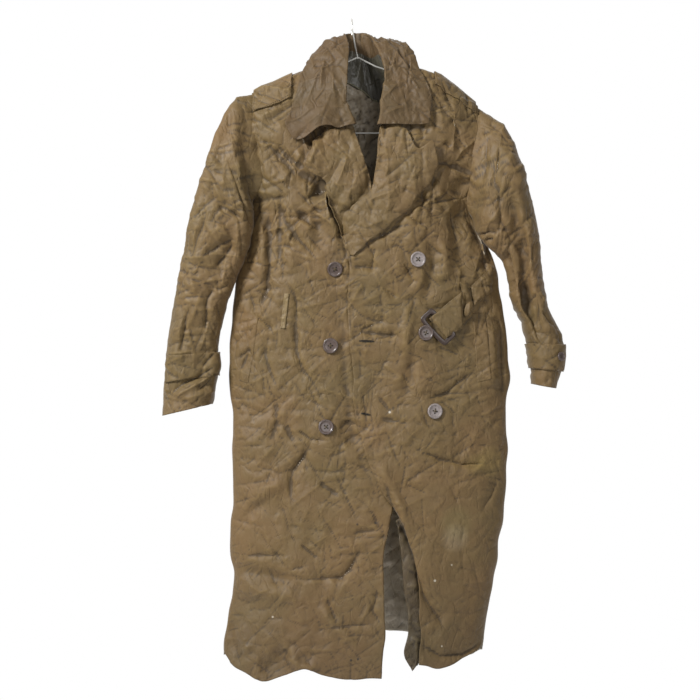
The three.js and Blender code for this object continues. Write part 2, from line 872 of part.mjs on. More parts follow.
function solidOf(geometry) {
  geometry.deleteAttribute("normal");
  geometry.deleteAttribute("uv");
  const clean = mergeVertices(geometry, 1e-4);
  const mesh = new wasm.Mesh({
    numProp: 3,
    vertProperties: new Float32Array(clean.attributes.position.array),
    triVerts: new Uint32Array(clean.index.array),
  });
  return new wasm.Manifold(mesh);
}

function fromSolid(solid) {
  const mesh = solid.getMesh();
  const geometry = new THREE.BufferGeometry();
  geometry.setAttribute("position", new THREE.Float32BufferAttribute(mesh.vertProperties, 3));
  geometry.setIndex(Array.from(mesh.triVerts));
  return geometry;
}

// Sets a piece made along +Y on a point with its +Y axis along a normal
function seated(geometry, point, normal) {
  const turn = new THREE.Quaternion().setFromUnitVectors(new THREE.Vector3(0, 1, 0), normal);
  geometry.applyQuaternion(turn);
  geometry.translate(point.x, point.y, point.z);
  return geometry;
}

const BUTTONS = [
  { name: "button_right_top", x: -32, z: -475, out: 1.1, surface: rightFrontAt },
  { name: "button_right_middle", x: -40, z: -619, out: 0.9, surface: rightFrontAt },
  { name: "button_right_low", x: -49, z: -771, out: 0.7, surface: rightFrontAt },
  { name: "button_left_top", x: 122, z: -458, out: 0.7, surface: leftFrontAt },
  { name: "button_left_middle", x: 137, z: -595, out: 1.2, surface: leftFrontAt },
  { name: "button_left_low", x: 154, z: -741, out: 0.3, surface: leftFrontAt },
];

function frontButton(spec) {
  const normal = normalAt(spec.surface, spec.x, spec.z);
  const point = spec.surface(spec.x, spec.z).addScaledVector(normal, spec.out);
  const geometry = seated(buttonGeometry(BUTTON_RADIUS, BUTTON_THICK), point, normal);
  return meshOf(spec.name, geometry, BUTTON_BROWN, 0.35);
}

function cuffButton(name, at, place, angle) {
  const p = at(place, angle);
  const u = at(place, angle + 0.1).sub(at(place, angle - 0.1));
  const v = at(place + 0.2, angle).sub(at(place - 0.2, angle));
  const normal = u.cross(v).normalize();
  if (normal.y > 0) normal.negate();
  p.addScaledVector(normal, HEAVY_CLOTH + LOOSE_GAP + LAY_GAP);
  return meshOf(name, seated(buttonGeometry(CUFF_BUTTON_RADIUS, 3), p, normal), BUTTON_BROWN, 0.35);
}

// Buckle: a flat frame, long side across the belt
const BUCKLE_AT = { x: 161, z: -584, out: 6.4, lean: -0.823 };

function buckle() {
  const { length, width, bar, thick } = BUCKLE;
  const outline = new THREE.Shape();
  roundedBox(outline, length, width, 4);
  const hole = new THREE.Path();
  roundedBox(hole, length - 2 * bar, width - 2 * bar, 1.5);
  outline.holes.push(hole);
  const geometry = new THREE.ExtrudeGeometry(outline, {
    depth: thick,
    bevelEnabled: false,
    curveSegments: 3,
  });
  // drawn flat on X and Y; stand it up to face the front and lean it
  geometry.rotateZ(BUCKLE_AT.lean);
  geometry.rotateX(Math.PI / 2);
  const normal = normalAt(leftFrontAt, BUCKLE_AT.x, BUCKLE_AT.z);
  const turn = new THREE.Quaternion().setFromUnitVectors(new THREE.Vector3(0, -1, 0), normal);
  geometry.applyQuaternion(turn);
  const p = moved(leftFrontAt, BUCKLE_AT.x, BUCKLE_AT.z, BUCKLE_AT.out);
  geometry.translate(p.x, p.y, p.z);
  return meshOf("buckle", geometry, BUCKLE_BROWN, 0.4);
}

function roundedBox(path, length, width, radius) {
  const x = length / 2;
  const y = width / 2;
  path.moveTo(-x + radius, -y);
  path.lineTo(x - radius, -y);
  path.quadraticCurveTo(x, -y, x, -y + radius);
  path.lineTo(x, y - radius);
  path.quadraticCurveTo(x, y, x - radius, y);
  path.lineTo(-x + radius, y);
  path.quadraticCurveTo(-x, y, -x, y - radius);
  path.lineTo(-x, -y + radius);
  path.quadraticCurveTo(-x, -y, -x + radius, -y);
}

// Belt: across the back, round the left side, a knot, then the buckle end
function beltPieces() {
  const half = BELT_WIDTH / 2;
  const gap = LOOSE_GAP;
  const backRun = patch("belt_back", backAt, [
    [-176, -498 + half],
    [262, -492 + half],
    [262, -492 - half],
    [-176, -498 - half],
  ], 18, 3, HEAVY_CLOTH, gap, OLIVE);
  const frontRun = patch("belt_side", leftFrontAt, [
    [262, -470],
    [222, -508],
    [228, -545],
    [264, -516],
  ], 6, 4, HEAVY_CLOTH, gap, OLIVE);
  const end = patch("belt_end", leftFrontAt, [
    [203, -517],
    [143, -568],
    [174, -604],
    [205, -585],
  ], 6, 5, HEAVY_CLOTH, BUCKLE_AT.out + BUCKLE.thick + 1.2, OLIVE);
  return [backRun, frontRun, end, beltKnot()];
}

function beltKnot() {
  const lump = new THREE.SphereGeometry(1, 12, 8);
  lump.scale(8, 6.5, 24);
  lump.rotateY(-0.35);
  const p = moved(leftFrontAt, 214, -551, 12.1);
  lump.translate(p.x + 0.9, p.y, p.z);
  return meshOf("belt_knot", fromSolid(solidOf(lump)), OLIVE_DARK);
}

// Hanger: a closed wire loop with a stem and a hook, one body
const HANGER_LOOP = table(["x", "z"], [
  [11, -71],
  [55, -92],
  [112, -102],
  [169, -112.6],
  [192, -128.2],
  [207, -141.6],
  [216, -158],
  [217, -180],
  [210, -205],
  [190, -215],
  [100, -215],
  [0, -215],
  [-100, -215],
  [-166, -215],
  [-186, -205],
  [-194, -182],
  [-193, -160],
  [-185, -143],
  [-170, -132.6],
  [-150, -125.2],
  [-127, -115],
  [-85, -105],
  [-40, -93],
]);

function wire(points, closed, steps) {
  const curve = new THREE.CatmullRomCurve3(points, closed, "centripetal");
  const section = new THREE.Shape();
  section.absarc(0, 0, WIRE_RADIUS, 0, 2 * Math.PI, false);
  return new THREE.ExtrudeGeometry(section, { steps, extrudePath: curve, curveSegments: 4 });
}

function hanger() {
  const loop = wire(HANGER_LOOP.map((row) => new THREE.Vector3(row.x, 0, row.z)), false, 46);
  const closing = wire([new THREE.Vector3(-40, 0, -93), new THREE.Vector3(11, 0, -71)], false, 4);
  const hook = [
    new THREE.Vector3(11, 0, -74),
    new THREE.Vector3(8, -3, -60),
    new THREE.Vector3(4, -14, -40),
  ];
  for (let i = 0; i <= 8; i++) {
    const angle = Math.PI - (i / 8) * Math.PI * 1.06;
    const y = HOOK_RADIUS * Math.cos(angle);
    const z = HOOK_RADIUS * Math.sin(angle) - HOOK_RADIUS + WIRE_RADIUS;
    hook.push(new THREE.Vector3(0, y, z));
  }
  const stem = wire(hook, false, 20);
  const solid = solidOf(loop).add(solidOf(closing)).add(solidOf(stem));
  return meshOf("hanger", fromSolid(solid), WIRE_PALE, 0.35, 0.8);
}

const raincoat = new THREE.Group();
raincoat.name = "raincoat";
raincoat.add(
  backPanel(),
  rightFront(),
  leftFront(),
  sleeve("sleeve_right", rightSleeveAt, RIGHT_SLEEVE.length),
  sleeve("sleeve_left", leftSleeveAt, LEFT_SLEEVE.length),
  collar(),
  lapel("lapel_left", LEFT_LAPEL, leftFrontAt, 5),
  lapel("lapel_right", RIGHT_LAPEL, rightFrontAt, 1.5),
  shoulderStrap("shoulder_strap_right", RIGHT_STRAP, rightFrontAt),
  shoulderStrap("shoulder_strap_left", LEFT_STRAP, leftFrontAt),
  cuffStrap("cuff_strap_right", rightSleeveAt, 11.3, 12.5, 0.5, 3.4),
  cuffStrap("cuff_strap_left", leftSleeveAt, 12.6, 14.1, 0.2, 3.6),
  cuffButton("button_cuff_left", leftSleeveAt, 13.3, 0.95),
  patch("pocket_welt_right", rightFrontAt, [
    [-196, -566],
    [-176, -568],
    [-196, -690],
    [-214, -684],
  ], 3, 6, HEAVY_CLOTH, LAY_GAP, OLIVE),
  patch("pocket_welt_left", leftFrontAt, [
    [226, -558],
    [252, -556],
    [262, -682],
    [236, -688],
  ], 3, 6, HEAVY_CLOTH, LAY_GAP, OLIVE),
  patch("belt_loop_right", rightFrontAt, [
    [-124, -521],
    [-117, -521],
    [-125, -587],
    [-132, -586],
  ], 1, 4, HEAVY_CLOTH, LAY_GAP, OLIVE_DARK),
  ...beltPieces(),
  buckle(),
  ...BUTTONS.map(frontButton),
  hanger(),
);

export default raincoat;
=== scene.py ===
# %% [markdown]
# # A crumpled double-breasted raincoat on a wire hanger
#
# The coat is proofed cotton: a close plain weave, dyed olive brown, with a thin
# grey rubbery coating on the inside. It is cut as a back, two fronts and two
# sleeves, with a collar, wide lapels, shoulder straps, cuff straps, slanted
# pockets and a belt. It hangs open on a thin wire hanger and it has been
# stored folded, so the whole cloth is covered in small sharp creases.
#
# Sizes are millimetres in the tables and metres in the scene. The front faces
# -Y, the wearer's left is +X, and the origin is the inner top of the hook.

# %% Load the frame
import json
import math
import bpy
import numpy as np
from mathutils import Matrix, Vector

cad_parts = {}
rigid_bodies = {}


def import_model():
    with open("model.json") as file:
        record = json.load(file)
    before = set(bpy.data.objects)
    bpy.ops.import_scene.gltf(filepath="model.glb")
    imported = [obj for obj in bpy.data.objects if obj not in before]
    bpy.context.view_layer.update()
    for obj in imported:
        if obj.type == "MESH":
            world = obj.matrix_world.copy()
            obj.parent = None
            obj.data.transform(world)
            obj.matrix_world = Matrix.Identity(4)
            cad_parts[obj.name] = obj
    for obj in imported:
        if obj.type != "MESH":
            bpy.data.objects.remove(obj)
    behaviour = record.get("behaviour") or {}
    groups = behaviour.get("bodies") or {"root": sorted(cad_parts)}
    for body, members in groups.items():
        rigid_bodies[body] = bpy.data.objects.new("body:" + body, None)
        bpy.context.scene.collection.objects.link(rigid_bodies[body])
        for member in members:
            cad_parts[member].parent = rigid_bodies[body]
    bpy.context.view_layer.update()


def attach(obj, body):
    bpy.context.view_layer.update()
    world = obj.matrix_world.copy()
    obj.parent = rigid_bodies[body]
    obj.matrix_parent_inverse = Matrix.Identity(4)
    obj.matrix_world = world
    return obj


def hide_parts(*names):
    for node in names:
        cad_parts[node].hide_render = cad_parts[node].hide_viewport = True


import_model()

# %% [markdown]
# ## Camera, floor and light
#
# The coat is seen straight from the front at the height of its middle, from
# about three metres, so its outline hardly narrows towards hem or collar. A
# large soft light high on the left gives the crumples a light and a dark side.
# A weaker one on the right and a pale surround keep the shadows open.

# %% Camera, floor and light
POINT_MM = 1.9
VIEW_DISTANCE = 3.0
MIDDLE = (-0.0038, 0.0, -0.627)

camera_data = bpy.data.cameras.new("camera")
camera = bpy.data.objects.new("camera", camera_data)
camera.location = (MIDDLE[0], -VIEW_DISTANCE, MIDDLE[2])
camera.rotation_euler = (math.radians(90), 0, 0)
camera_data.sensor_width = 36
camera_data.lens = 36 * VIEW_DISTANCE / (0.7 * POINT_MM)
bpy.context.scene.collection.objects.link(camera)
bpy.context.scene.camera = camera


def area_light(name, place, size, power):
    data = bpy.data.lights.new(name, "AREA")
    data.shape = "SQUARE"
    data.size = size
    data.energy = power
    lamp = bpy.data.objects.new(name, data)
    lamp.location = place
    aim = Vector(MIDDLE) - Vector(place)
    lamp.rotation_euler = aim.to_track_quat("-Z", "Y").to_euler()
    bpy.context.scene.collection.objects.link(lamp)
    return lamp


area_light("key", (-2.0, -2.0, 1.1), 0.7, 140)
area_light("fill", (1.0, -2.7, -0.1), 1.4, 21)
area_light("rim", (0.6, 2.4, 1.2), 1.6, 18)

world = bpy.data.worlds.new("surround")
world.use_nodes = True
sky = world.node_tree
toward = sky.nodes.new("ShaderNodeTexCoord")
apart = sky.nodes.new("ShaderNodeSeparateXYZ")
bright = sky.nodes.new("ShaderNodeMapRange")
for socket, value in (("From Min", -0.1), ("From Max", 0.75), ("To Min", 0.31), ("To Max", 1.0)):
    bright.inputs[socket].default_value = value
sky.links.new(toward.outputs["Generated"], apart.inputs[0])
sky.links.new(apart.outputs["Y"], bright.inputs["Value"])
sky.links.new(bright.outputs["Result"], sky.nodes["Background"].inputs["Strength"])
sky.nodes["Background"].inputs["Color"].default_value = (1, 1, 1, 1)
bpy.context.scene.world = world
bpy.context.scene.view_settings.view_transform = "Standard"

floor_mesh = bpy.data.meshes.new("floor")
FLOOR = [(-2, -1, -1.7), (2, -1, -1.7), (2, 1.2, -1.7), (-2, 1.2, -1.7)]
floor_mesh.from_pydata(FLOOR, [], [(0, 1, 2, 3)])
floor = bpy.data.objects.new("floor", floor_mesh)
bpy.context.scene.collection.objects.link(floor)

# %% [markdown]
# ## Small tools
#
# A table keeps its columns by name. A curve runs smoothly through the rows of
# a table, measured by its length, and a pattern piece is the flat shape
# stretched between its four edge curves, as a cutter would draw it.

# %% Tables, curves and pattern pieces
def table(columns, rows):
    """Columns by name, each an array."""
    values = np.array(rows, float)
    return {name: values[:, i] for i, name in enumerate(columns.split())}


def read(rows, key, column, at):
    """One column at a key, straight between the rows."""
    order = np.argsort(rows[key])
    return np.interp(at, rows[key][order], rows[column][order])


def smooth(low, high, value):
    t = np.clip((value - low) / (high - low), 0, 1)
    return t * t * (3 - 2 * t)


def run_through(points, dense=40):
    """A smooth line through points, as a function of the share of its length."""
    p = np.array(points, float)
    gap = np.maximum(np.linalg.norm(np.diff(p, axis=0), axis=1), 1e-6) ** 0.5
    key = np.concatenate([[0], np.cumsum(gap)])
    slope = np.gradient(p, key, axis=0)
    pieces = []
    for i in range(len(p) - 1):
        t = np.linspace(0, 1, dense, endpoint=False)[:, None]
        h = gap[i]
        a = (2 * t**3 - 3 * t**2 + 1) * p[i] + (t**3 - 2 * t**2 + t) * h * slope[i]
        b = (-2 * t**3 + 3 * t**2) * p[i + 1] + (t**3 - t**2) * h * slope[i + 1]
        pieces.append(a + b)
    line = np.concatenate(pieces + [p[-1:]])
    far = np.concatenate([[0], np.cumsum(np.linalg.norm(np.diff(line, axis=0), axis=1))])
    far /= far[-1]

    def at(t):
        t = np.asarray(t, float)
        return np.stack([np.interp(t, far, line[:, k]) for k in range(p.shape[1])], -1)

    return at


def pattern(top, bottom, first, last, s, t):
    """Points of a flat piece for shares s across and t down."""
    s, t = s[..., None], t[..., None]
    p = top(s[..., 0]) * (1 - t) + bottom(s[..., 0]) * t
    p = p + first(t[..., 0]) * (1 - s) + last(t[..., 0]) * s
    p = p - top(0) * (1 - s) * (1 - t) - top(1) * s * (1 - t)
    return p - bottom(0) * (1 - s) * t - bottom(1) * s * t


# %% [markdown]
# ## Crumples
#
# Cloth that was stored folded doesn't lie in soft waves. It breaks into small
# flat facets that meet in sharp ridges and valleys, some big, most small. A
# net of random heights, joined by flat triangles, gives just that. The net is
# bent a little so that no straight rows show, and three sizes are added.

# %% Facets and crumples
def soft_noise(x, z, size, seed):
    """Rolling noise from -1 to 1 with bumps about size apart."""
    rng = np.random.default_rng(seed)
    net = rng.uniform(-1, 1, (128, 128))
    u, v = x / size, z / size
    i, j = np.floor(u).astype(int), np.floor(v).astype(int)
    fu, fv = u - i, v - j
    fu, fv = fu * fu * (3 - 2 * fu), fv * fv * (3 - 2 * fv)
    a = net[i % 128, j % 128] * (1 - fu) + net[(i + 1) % 128, j % 128] * fu
    b = net[i % 128, (j + 1) % 128] * (1 - fu) + net[(i + 1) % 128, (j + 1) % 128] * fu
    return a * (1 - fv) + b * fv


def facets(x, z, size, seed):
    """Flat triangles between random heights from -1 to 1, size apart."""
    bend = size * 0.4
    u = (x + bend * soft_noise(x, z, size * 1.3, seed + 1)) / size
    v = (z + bend * soft_noise(x, z, size * 1.3, seed + 2)) / (size * 0.87)
    u = u + 0.5 * v
    rng = np.random.default_rng(seed)
    net = rng.uniform(-1, 1, (128, 128))
    i, j = np.floor(u).astype(int), np.floor(v).astype(int)
    fu, fv = u - i, v - j
    corner = lambda a, b: net[(i + a) % 128, (j + b) % 128]
    low = corner(0, 0) * (1 - fu - fv) + corner(1, 0) * fu + corner(0, 1) * fv
    high = corner(1, 1) * (fu + fv - 1) + corner(0, 1) * (1 - fu) + corner(1, 0) * (1 - fv)
    return np.where(fu + fv < 1, low, high)


# size across and height in mm, how much longer than wide, and the lean
CRUMPLE = table("size height stretch lean", [
    (84, 5.0, 1.8, 0.4),
    (46, 3.4, 2.4, -0.6),
    (26, 2.2, 2.2, 0.7),
    (15, 1.1, 1.8, -0.3),
])


BODY_AREA = (-300, 320, -1260, -60)
AREA_PER_CREASE = 135
FOLD = "x1 z1 x2 z2 width height sharp"


def fold_height(folds, x, z, reach=4.5):
    """All folds of a table added up at x, z."""
    shape_of = np.shape(x)
    x, z = np.atleast_1d(x).ravel(), np.atleast_1d(z).ravel()
    wander = 2.2 * soft_noise(x, z, 30, 91)
    total = np.zeros(x.shape)
    for x1, z1, x2, z2, width, height, sharp in zip(*folds.values()):
        margin = reach * width + 6
        near = np.nonzero((x > min(x1, x2) - margin) & (x < max(x1, x2) + margin)
                          & (z > min(z1, z2) - margin) & (z < max(z1, z2) + margin))[0]
        if near.size == 0:
            continue
        px, pz = x[near], z[near]
        dx, dz = x2 - x1, z2 - z1
        along = ((px - x1) * dx + (pz - z1) * dz) / (dx * dx + dz * dz)
        t = np.clip(along, 0, 1)
        far = np.hypot(px - x1 - dx * t + wander[near], pz - z1 - dz * t)
        ends = np.sqrt(np.clip(4 * t * (1 - t), 0.0, 1)) * 0.85 + 0.15
        shape = np.exp(-far / width) if sharp else np.exp(-0.5 * (far / width) ** 2)
        fade = np.clip((margin - far) / 6, 0, 1)
        total[near] += height * ends * shape * fade
    return total.reshape(shape_of)


def scattered_creases(seed, lean, area):
    """Short sharp creases at random places, most of them along one lean."""
    rng = np.random.default_rng(seed)
    x0, x1, z0, z1 = area
    count = int((x1 - x0) * (z1 - z0) / AREA_PER_CREASE)
    x, z = rng.uniform(x0, x1, count), rng.uniform(z0, z1, count)
    turn = lean + rng.choice([0.7, -0.5, 1.4], count) + rng.normal(0, 0.35, count)
    half = rng.uniform(5, 13, count) + 34 * rng.uniform(0, 1, count) ** 4
    width = rng.uniform(1.7, 2.8, count) + half * 0.045
    height = rng.choice([-1.0, -1.0, 0.9], count) * (1.0 + half * 0.08) * rng.uniform(0.35, 1.3, count)
    dx, dz = np.sin(turn) * half, np.cos(turn) * half
    columns = (x - dx, z - dz, x + dx, z + dz, width, height, np.ones(count))
    return dict(zip(FOLD.split(), columns))


CREASE_SETS = {}


def crumple(x, z, seed, lean=0.0, area=BODY_AREA):
    """Crumples in mm: facets in all sizes, and short creases over them."""
    x, z = np.asarray(x, float), np.asarray(z, float)
    if seed not in CREASE_SETS:
        CREASE_SETS[seed] = scattered_creases(seed, lean, area)
    wander_x = x + 30 * soft_noise(x, z, 170, seed + 300)
    wander_z = z + 30 * soft_noise(x, z, 170, seed + 301)
    total = np.zeros_like(x, dtype=float)
    for k, (size, height, stretch, turn) in enumerate(zip(*CRUMPLE.values())):
        c, s = math.cos(lean + turn), math.sin(lean + turn)
        along, across = wander_x * s + wander_z * c, wander_x * c - wander_z * s
        bend = facets(across, along / stretch, size, seed * 31 + k * 7)
        total += height * bend
    return total + fold_height(CREASE_SETS[seed], x, z)


# %% [markdown]
# ## Creases placed one by one
#
# The larger folds are where the coat pulls and hangs: fans below the armholes,
# long soft pleats down the skirts, the deep tuck beside the left pocket, drag
# lines from the knotted belt. Each row is one fold with its own ends, width
# and height; plus is a ridge, minus a trough. Sharp ones come to an edge.

# %% Fold tables
# width, height, sharp, then the points along the fold
FRONT_FOLDS = [
    (6.5, -9, 1, [(-160, -365), (-156, -418), (-156, -466), (-162, -528)]),
    (11, 5, 0, [(-173, -370), (-171, -460), (-177, -504)]),
    (5.5, -6, 1, [(-141, -342), (-129, -384), (-99, -418), (-61, -464)]),
    (5, -5, 1, [(-133, -323), (-139, -418), (-131, -479)]),
    (9, 4, 0, [(-118, -390), (-114, -484)]),
    (4.5, -5, 1, [(-103, -365), (-82, -391), (-65, -403)]),
    (4.5, -5, 1, [(-61, -388), (-65, -403)]),
    (8, -7, 0, [(-57, -289), (-68, -370), (-57, -446)]),
    (6, 4, 0, [(-55, -323), (-38, -384), (-8, -456)]),
    (7, -5, 0, [(-40, -334), (-23, -384), (-6, -437)]),
    (5.5, -6, 1, [(-188, -186), (-182, -251), (-175, -323)]),
    (5, -5, 1, [(-171, -228), (-137, -262), (-104, -304)]),
    (4.5, -5, 1, [(-139, -243), (-118, -270), (-87, -289)]),
    (5, -6, 1, [(-194, -509), (-179, -560), (-142, -600)]),
    (4.5, -5, 1, [(-173, -543), (-152, -500)]),
    (5, -6, 1, [(-114, -500), (-103, -551), (-106, -627), (-91, -669), (-65, -692)]),
    (4.5, -4.5, 1, [(-163, -618), (-156, -669), (-141, -699)]),
    (4.5, -5, 1, [(-215, -642), (-188, -625)]),
    (4.5, -5, 1, [(-194, -629), (-211, -665)]),
    (5, -5, 1, [(-146, -718), (-141, -760), (-156, -798)]),
    (6.5, -8, 1, [(-78, -809), (-110, -855), (-118, -912)]),
    (4.5, -5, 1, [(-104, -775), (-78, -794), (-42, -796)]),
    (4.5, -4, 1, [(-125, -764), (-106, -800)]),
    (12, -7, 0, [(-15, -756), (0, -809)]),
    (9, 5, 0, [(-127, -870), (-201, -912)]),
    (7, -4, 0, [(-156, -908), (-213, -950)]),
    (4.5, -4, 1, [(-200, -1013), (-122, -1009)]),
    (8, -6, 0, [(-213, -1037), (-106, -1060)]),
    (10, 5, 0, [(-213, -1068), (-99, -1087)]),
    (6, -7, 1, [(17, -996), (-4, -1036), (-19, -1051), (-74, -1054)]),
    (5, -5, 1, [(-46, -1087), (-27, -1136)]),
    (5, -5, 1, [(46, -1068), (38, -1112), (55, -1140)]),
    (5, -4, 1, [(-46, -1144), (38, -1136)]),
    (26, -8, 0, [(-188, -1080), (-200, -1150), (-205, -1215)]),
    (7, -16, 1, [(-239, -1129), (-224, -1178), (-207, -1220)]),
    (10, 8, 0, [(-217, -1136), (-190, -1197)]),
    (13, -13, 0, [(-122, -1178), (-141, -1212), (-179, -1224)]),
    (7, 8, 0, [(-125, -1189), (-99, -1214), (-57, -1220)]),
    (4.5, -4.5, 1, [(-61, -874), (-27, -901)]),
    (8, 6, 0, [(-65, -1102), (8, -1178)]),
    (4.5, -4, 1, [(34, -922), (44, -954)]),
    (5, -4.5, 1, [(0, -969), (49, -961)]),
    (5, -4, 1, [(-99, -988), (-61, -1018)]),
    (9, -6, 0, [(144, -414), (152, -464), (144, -504), (129, -543)]),
    (12, 6, 0, [(169, -418), (175, -504)]),
    (10, -6, 0, [(198, -342), (198, -403), (201, -479)]),
    (5, -9, 1, [(226, -378), (241, -428), (260, -494)]),
    (5, -7, 1, [(243, -384), (255, -433), (268, -471)]),
    (6, 8, 0, [(236, -391), (253, -460)]),
    (5.5, -9, 1, [(160, -277), (198, -285), (228, -296)]),
    (9, -9, 0, [(196, -340), (204, -318), (212, -300)]),
    (6, -7, 1, [(182, -190), (201, -224)]),
    (5, -6, 1, [(169, -238), (182, -251)]),
    (5, -7, 1, [(277, -557), (281, -618), (287, -722)]),
    (10, 6, 0, [(262, -570), (268, -712)]),
    (6, -7, 1, [(63, -870), (72, -912), (99, -969), (116, -1026)]),
    (6, -8, 1, [(116, -1026), (131, -1079), (150, -1110), (173, -1148)]),
    (9, 6, 0, [(46, -826), (76, -897), (114, -969)]),
    (5, -6, 1, [(127, -815), (167, -832), (207, -842), (258, -840)]),
    (6, -4, 1, [(277, -870), (247, -927)]),
    (6, -9, 1, [(125, -1174), (167, -1197), (207, -1197), (245, -1178)]),
    (4.5, -4, 1, [(93, -874), (141, -895)]),
    (4.5, -3.5, 1, [(50, -714), (74, -745)]),
    (4.5, -5, 1, [(51, -754), (114, -766)]),
    (4.5, -5, 1, [(0, -471), (46, -475)]),
    (5, -6, 1, [(42, -437), (38, -484)]),
    (4.5, -5, 1, [(11, -593), (84, -600), (95, -589)]),
    (4.5, -5, 1, [(53, -509), (84, -532)]),
    (4.5, -4, 1, [(23, -566), (57, -578)]),
    (5, -5, 1, [(91, -460), (114, -498), (99, -513)]),
    (6, -5, 1, [(99, -370), (148, -408)]),
    (7, 5, 0, [(106, -532), (99, -646)]),
    (7, -5, 0, [(114, -627), (99, -722)]),
    (6, -5, 1, [(129, -722), (177, -707), (224, -669)]),
    (5, -4, 1, [(160, -618), (205, -638)]),
]

BACK_FOLDS = table(FOLD, [
    (20, -112, 20, -640, 2.2, -2.6, 1),
    (20, -560, 20, -1175, 2.2, -2.6, 1),
    (-150, -240, -60, -420, 18, -5, 0),
    (190, -270, 110, -430, 18, -5, 0),
    (-160, -560, -150, -1150, 18, 6, 0),
    (-90, -600, -100, -1170, 18, -6, 0),
    (-20, -640, -30, -1170, 20, 6, 0),
    (40, -520, 40, -1170, 10, -4, 1),
    (100, -600, 110, -1170, 20, 6, 0),
    (170, -560, 180, -1170, 18, -6, 0),
    (230, -640, 220, -1150, 18, 5, 0),
])


def path_height(paths, x, z):
    """Height of the folds that run along a few points each."""
    shape_of = np.shape(x)
    x, z = np.atleast_1d(x).ravel(), np.atleast_1d(z).ravel()
    wander = 3.0 * soft_noise(x, z, 28, 93)
    total = np.zeros(x.shape)
    for width, height, sharp, points in paths:
        p = np.array(points, float)
        margin = 4.5 * width + 4
        low, high = p.min(0) - margin, p.max(0) + margin
        near = np.nonzero((x > low[0]) & (x < high[0]) & (z > low[1]) & (z < high[1]))[0]
        if near.size == 0:
            continue
        px, pz = x[near] + wander[near], z[near]
        legs = np.linalg.norm(np.diff(p, axis=0), axis=1)
        far, place = np.full(near.size, 1e9), np.zeros(near.size)
        for k, leg in enumerate(legs):
            d = (p[k + 1] - p[k]) / leg
            t = np.clip((px - p[k, 0]) * d[0] + (pz - p[k, 1]) * d[1], 0, leg)
            here = np.hypot(px - p[k, 0] - d[0] * t, pz - p[k, 1] - d[1] * t)
            place = np.where(here < far, legs[:k].sum() + t, place)
            far = np.minimum(here, far)
        t = place / legs.sum()
        ends = 0.12 + 0.88 * smooth(0, 0.25, t) * (1 - smooth(0.75, 1, t))
        shape = np.exp(-far / width) if sharp else np.exp(-0.5 * (far / width) ** 2)
        total[near] += height * ends * shape * np.clip((margin - far) / 6, 0, 1)
    return total.reshape(shape_of)


# %% [markdown]
# ## The body's form
#
# Hung flat on a wire, the body is a shallow bag: the front and the back meet
# at the side seams and over the shoulders, and stand four to six centimetres
# out of the middle plane. A row per height gives both outlines and depths.

# %% Body sections
BODY = table("z left right front back", [
    (-60, -262, 302, 44, 44),
    (-150, -258, 302, 48, 48),
    (-220, -250, 296, 52, 50),
    (-290, -228, 275, 56, 50),
    (-340, -190, 246, 56, 48),
    (-374, -193, 230, 55, 47),
    (-430, -204, 256, 52, 45),
    (-479, -219, 276, 49, 43),
    (-532, -224, 283, 47, 42),
    (-616, -232, 296, 47, 42),
    (-684, -232, 299, 48, 43),
    (-730, -228, 293, 49, 44),
    (-821, -226, 295, 52, 46),
    (-912, -226, 291, 56, 49),
    (-1003, -231, 277, 60, 52),
    (-1049, -226, 272, 62, 54),
    (-1117, -231, 258, 66, 56),
    (-1186, -243, 248, 70, 60),
    (-1270, -246, 243, 72, 62),
])

SHOULDER = table("x z", [
    (-214, -152),
    (-190, -139),
    (-173, -129),
    (-150, -121),
    (-127, -110),
    (-104, -100),
    (-76, -91),
    (-47, -85),
    (10, -80),
    (78, -88),
    (104, -91),
    (124, -94),
    (146, -99),
    (169, -108),
    (192, -124),
    (215, -143),
    (239, -163),
    (262, -182),
])

SHOULDER_ROLL = 120
FOLD_LIMIT = 14
OVERLAP_LIFT = 8
SEAM = 0.3


RIGHT_ARMHOLE = [(-190, -140), (-187, -186), (-181, -250), (-174, -300), (-177, -326), (-190, -341)]
LEFT_ARMHOLE = [(239, -164), (238, -200), (230, -260), (222, -320), (222, -352), (231, -375)]
FRONT_FEET = (-1200, -1168)
BACK_FEET = (-1206, -1196)


def side_seam(column, top, foot):
    rows = [(x, z) for x, z in zip(BODY[column], BODY["z"]) if foot + 12 < z < top - 12]
    return rows + [(float(read(BODY, "z", column, foot)), foot)]


def wavy(line, amount=2.6, size=34):
    """The same edge with small waves; equal edges get equal waves."""
    def at(t):
        p = line(t)
        end = smooth(0, 0.04, np.asarray(t)) * (1 - smooth(0.96, 1, np.asarray(t)))
        push = [soft_noise(p[..., 0], p[..., 1], size, seed) for seed in (61, 62)]
        return p + amount * end[..., None] * np.stack(push, -1)

    return at


def outline(armhole, column, foot):
    """The side of the body by height: the body table above, the seam below."""
    top = armhole[-1][1]
    seam = wavy(run_through(armhole + side_seam(column, top, foot)))(np.linspace(0, 1, 900))
    below, above = seam[:, 1] < top - 1, BODY["z"] > top
    return {"z": np.concatenate([BODY["z"][above], seam[below, 1]]),
            "x": np.concatenate([BODY[column][above], seam[below, 0]])}


SIDES = {side: (outline(RIGHT_ARMHOLE, "left", feet[0]), outline(LEFT_ARMHOLE, "right", feet[1]))
         for side, feet in ((-1, FRONT_FEET), (1, BACK_FEET))}


def fullness(x, z, side=-1):
    """1 in the middle of a panel, falling to 0 at side seams and shoulders."""
    left, right = [read(line, "z", "x", z) for line in SIDES[side]]
    across = np.clip(np.abs((2 * x - left - right) / (right - left)), 0, 1)
    drop = np.clip(read(SHOULDER, "x", "z", x) - z, 0, SHOULDER_ROLL)
    return np.sqrt(1 - across**3) * np.sqrt(1 - (1 - drop / SHOULDER_ROLL) ** 2)


